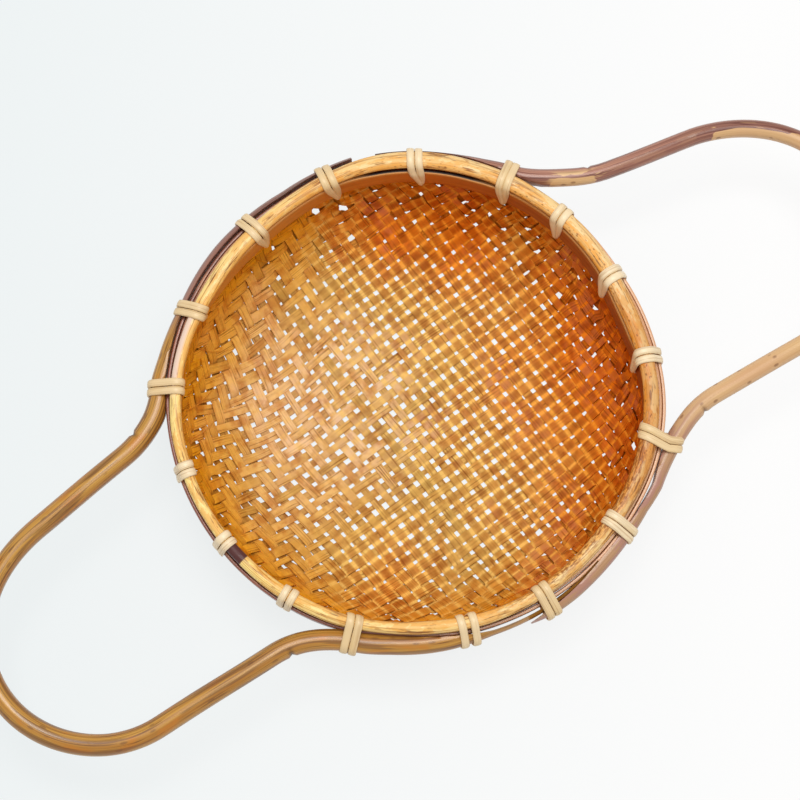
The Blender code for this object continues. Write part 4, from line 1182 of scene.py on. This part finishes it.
def make_handle(name, node, upper, lower, rod_radius, material, seed):
    (upper, upper_bend), (lower, lower_bend) = upper, lower
    coarse = 99
    count = ring_count(coarse)
    route = evenly(upper + lower[-2::-1], count)
    middles = np.column_stack([route[:, :2], np.full(count, HANDLE_HEIGHT)])
    cuts = route[:, 2]
    steps = np.linalg.norm(np.diff(middles, axis=0), axis=1)
    run = np.concatenate([[0.0], np.cumsum(steps)])
    pick = random.Random(seed)
    wave = sum(math.cos(k) * np.sin(run / pick.uniform(0.006, 0.03) + pick.uniform(0.0, 6.3))
               for k in range(6)) / 3.0
    free = np.clip((np.linalg.norm(middles[:, :2], axis=1) - HANDLE_SEAT_RADIUS - rod_radius - 0.002) / 0.01,
                   0.0, 1.0)
    ways = headings(middles)
    ups = np.tile([0.0, 0.0, 1.0], (count, 1))
    sides = unit(np.cross(ways, ups))
    middles = middles + (sides * wave[:, None] + ups * np.roll(wave, 90)[:, None]) * (0.00025 * free)[:, None]
    notch = np.zeros(count)
    for bend in (upper_bend, lower_bend):
        nearest = np.argmin(np.linalg.norm(middles[:, :2] - bend, axis=1))
        notch = np.maximum(notch, np.clip(1.0 - abs(run - run[nearest]) / NOTCH_LENGTH, 0.0, 1.0))
    hollow_side = np.sign((np.gradient(ways, axis=0) * sides).sum(axis=1))
    size = rod_radius * (1.0 + 0.02 * np.roll(wave, 40))
    outward = np.where((sides[:, :2] * middles[:, :2]).sum(axis=1) > 0, 1.0, -1.0)
    outward[np.linalg.norm(middles[:, :2], axis=1) > 0.095] = outward[0]

    def in_notch(ring, turn):
        return notch[ring] * np.clip(np.cos(turn) * hollow_side[ring], 0.0, 1.0)

    def rod(ring, turn):
        across = np.cos(turn) * size[ring] * (1.0 - 0.22 * in_notch(ring, turn))
        raised = np.sin(turn) * size[ring]
        side = outward[ring]
        across = np.where(across * side < cuts[ring], cuts[ring] * side, across)
        return across, raised

    bar = lay_bar(straight_bar(name, 24, coarse), middles, sides, ups, rod, mark=in_notch)
    return finish_piece(bar, material, [node], 45.0)


def make_handles():
    left_crown, right_crown = np.array([-0.1577, -0.0090]), np.array([0.1598, -0.0158])
    left_leg, right_leg = left_crown[0] * LEG_SHARE, right_crown[0] * LEG_SHARE
    left_radius, right_radius = LEFT_ROD_DIAMETER / 2, RIGHT_ROD_DIAMETER / 2
    left = make_handle(
        "left_loop", "handle_left",
        half_handle(LEFT_UPPER_END, 157.6, 0.0057, left_radius, np.array([left_leg, 0.0275]), left_crown),
        half_handle(LEFT_LOWER_END, 211.4, 0.0058, left_radius, np.array([left_leg, -0.0455]), left_crown),
        left_radius, golden_rattan_finish("golden_rattan_rod"), 5)
    right = make_handle(
        "right_loop", "handle_right",
        half_handle(RIGHT_UPPER_END, 18.4, 0.0119, right_radius, np.array([right_leg, 0.0232]), right_crown,
                    RIGHT_UPPER_SAG),
        half_handle(RIGHT_LOWER_END, 325.0, 0.0100, right_radius, np.array([right_leg, -0.0548]), right_crown),
        right_radius, pinkish_rattan_finish("pinkish_rattan_rod"), 9)
    return [left, right]


# The room


def make_camera():
    data = bpy.data.cameras.new("camera")
    camera = bpy.data.objects.new("camera", data)
    bpy.context.scene.collection.objects.link(camera)
    back = Vector((-0.1303, -0.1554, 0.9792)).normalized()
    right = Vector((0.8384, -0.5445, 0.0252))
    right = (right - back * right.dot(back)).normalized()
    up = back.cross(right)
    turned = Matrix((right, up, back)).transposed()
    camera.matrix_world = Matrix.Translation((-0.0652, -0.0777, 0.5306)) @ turned.to_4x4()
    data.sensor_width = 36.0
    data.lens = 70.9
    data.shift_x = -0.017
    data.shift_y = -0.0121
    data.clip_start = 0.01
    bpy.context.scene.camera = camera


def make_lamp(name, place, size, power, colour):
    data = bpy.data.lights.new(name, "AREA")
    data.shape = "DISK"
    data.size = size
    data.energy = power
    data.color = colour
    lamp = bpy.data.objects.new(name, data)
    bpy.context.scene.collection.objects.link(lamp)
    lamp.location = place
    lamp.rotation_euler = (-Vector(place)).to_track_quat("-Z", "Y").to_euler()


def make_room():
    deselect_all()
    bpy.ops.mesh.primitive_circle_add(vertices=96, radius=3.0, fill_type="NGON", location=(0.0, 0.0, 0.0))
    floor = bpy.context.object
    floor.name = "floor"
    material = bpy.data.materials.new("pale_floor")
    material.use_nodes = True
    tree = material.node_tree
    shader = tree.nodes["Principled BSDF"]
    shader.inputs["Base Color"].default_value = (0.86, 0.87, 0.87, 1.0)
    shader.inputs["Roughness"].default_value = 0.9
    place = put(tree, "ShaderNodeTexCoord").outputs["Object"]
    across = put(tree, "ShaderNodeVectorMath", {0: place, 1: (0.838, -0.545, 0.0)},
                 operation="DOT_PRODUCT").outputs["Value"]
    shade = ramp(tree, stretched(tree, across, -0.16, 0.12), [
        (0.0, (0.845, 0.895, 0.905, 1.0)), (1.0, (1.0, 1.0, 1.0, 1.0)),
    ])
    glow = put(tree, "ShaderNodeEmission", {"Color": shade, "Strength": 1.0})
    path = put(tree, "ShaderNodeLightPath")
    seen = maths(tree, "MAXIMUM", path.outputs["Is Camera Ray"], path.outputs["Is Glossy Ray"])
    share = maths(tree, "MULTIPLY", seen, 0.86)
    both = put(tree, "ShaderNodeMixShader", {0: share, 1: shader.outputs[0], 2: glow.outputs[0]})
    tree.links.new(both.outputs[0], tree.nodes["Material Output"].inputs["Surface"])
    floor.data.materials.append(material)

    world = bpy.data.worlds.new("studio")
    world.use_nodes = True
    bpy.context.scene.world = world
    tree = world.node_tree
    tree.nodes.clear()
    path = put(tree, "ShaderNodeLightPath")
    seen = maths(tree, "MAXIMUM", path.outputs["Is Camera Ray"], path.outputs["Is Transmission Ray"])
    soft = put(tree, "ShaderNodeBackground", {"Color": (1.0, 0.985, 0.965, 1.0), "Strength": 0.47})
    shown = put(tree, "ShaderNodeBackground", {"Color": (0.93, 0.96, 0.965, 1.0), "Strength": 1.0})
    both = put(tree, "ShaderNodeMixShader", {0: seen, 1: soft.outputs[0], 2: shown.outputs[0]})
    put_out = put(tree, "ShaderNodeOutputWorld")
    tree.links.new(both.outputs[0], put_out.inputs["Surface"])

    make_lamp("window_lamp", (0.12, 0.02, 0.95), 0.50, 4.5, (1.0, 0.97, 0.93))
    make_lamp("sheen_lamp", (0.02, 0.26, 0.95), 0.25, 1.5, (1.0, 0.97, 0.95))


make_camera()
make_weave()
make_lashings(make_rim() + make_handles())
make_room()

view = bpy.context.scene.view_settings
view.view_transform = "Standard"
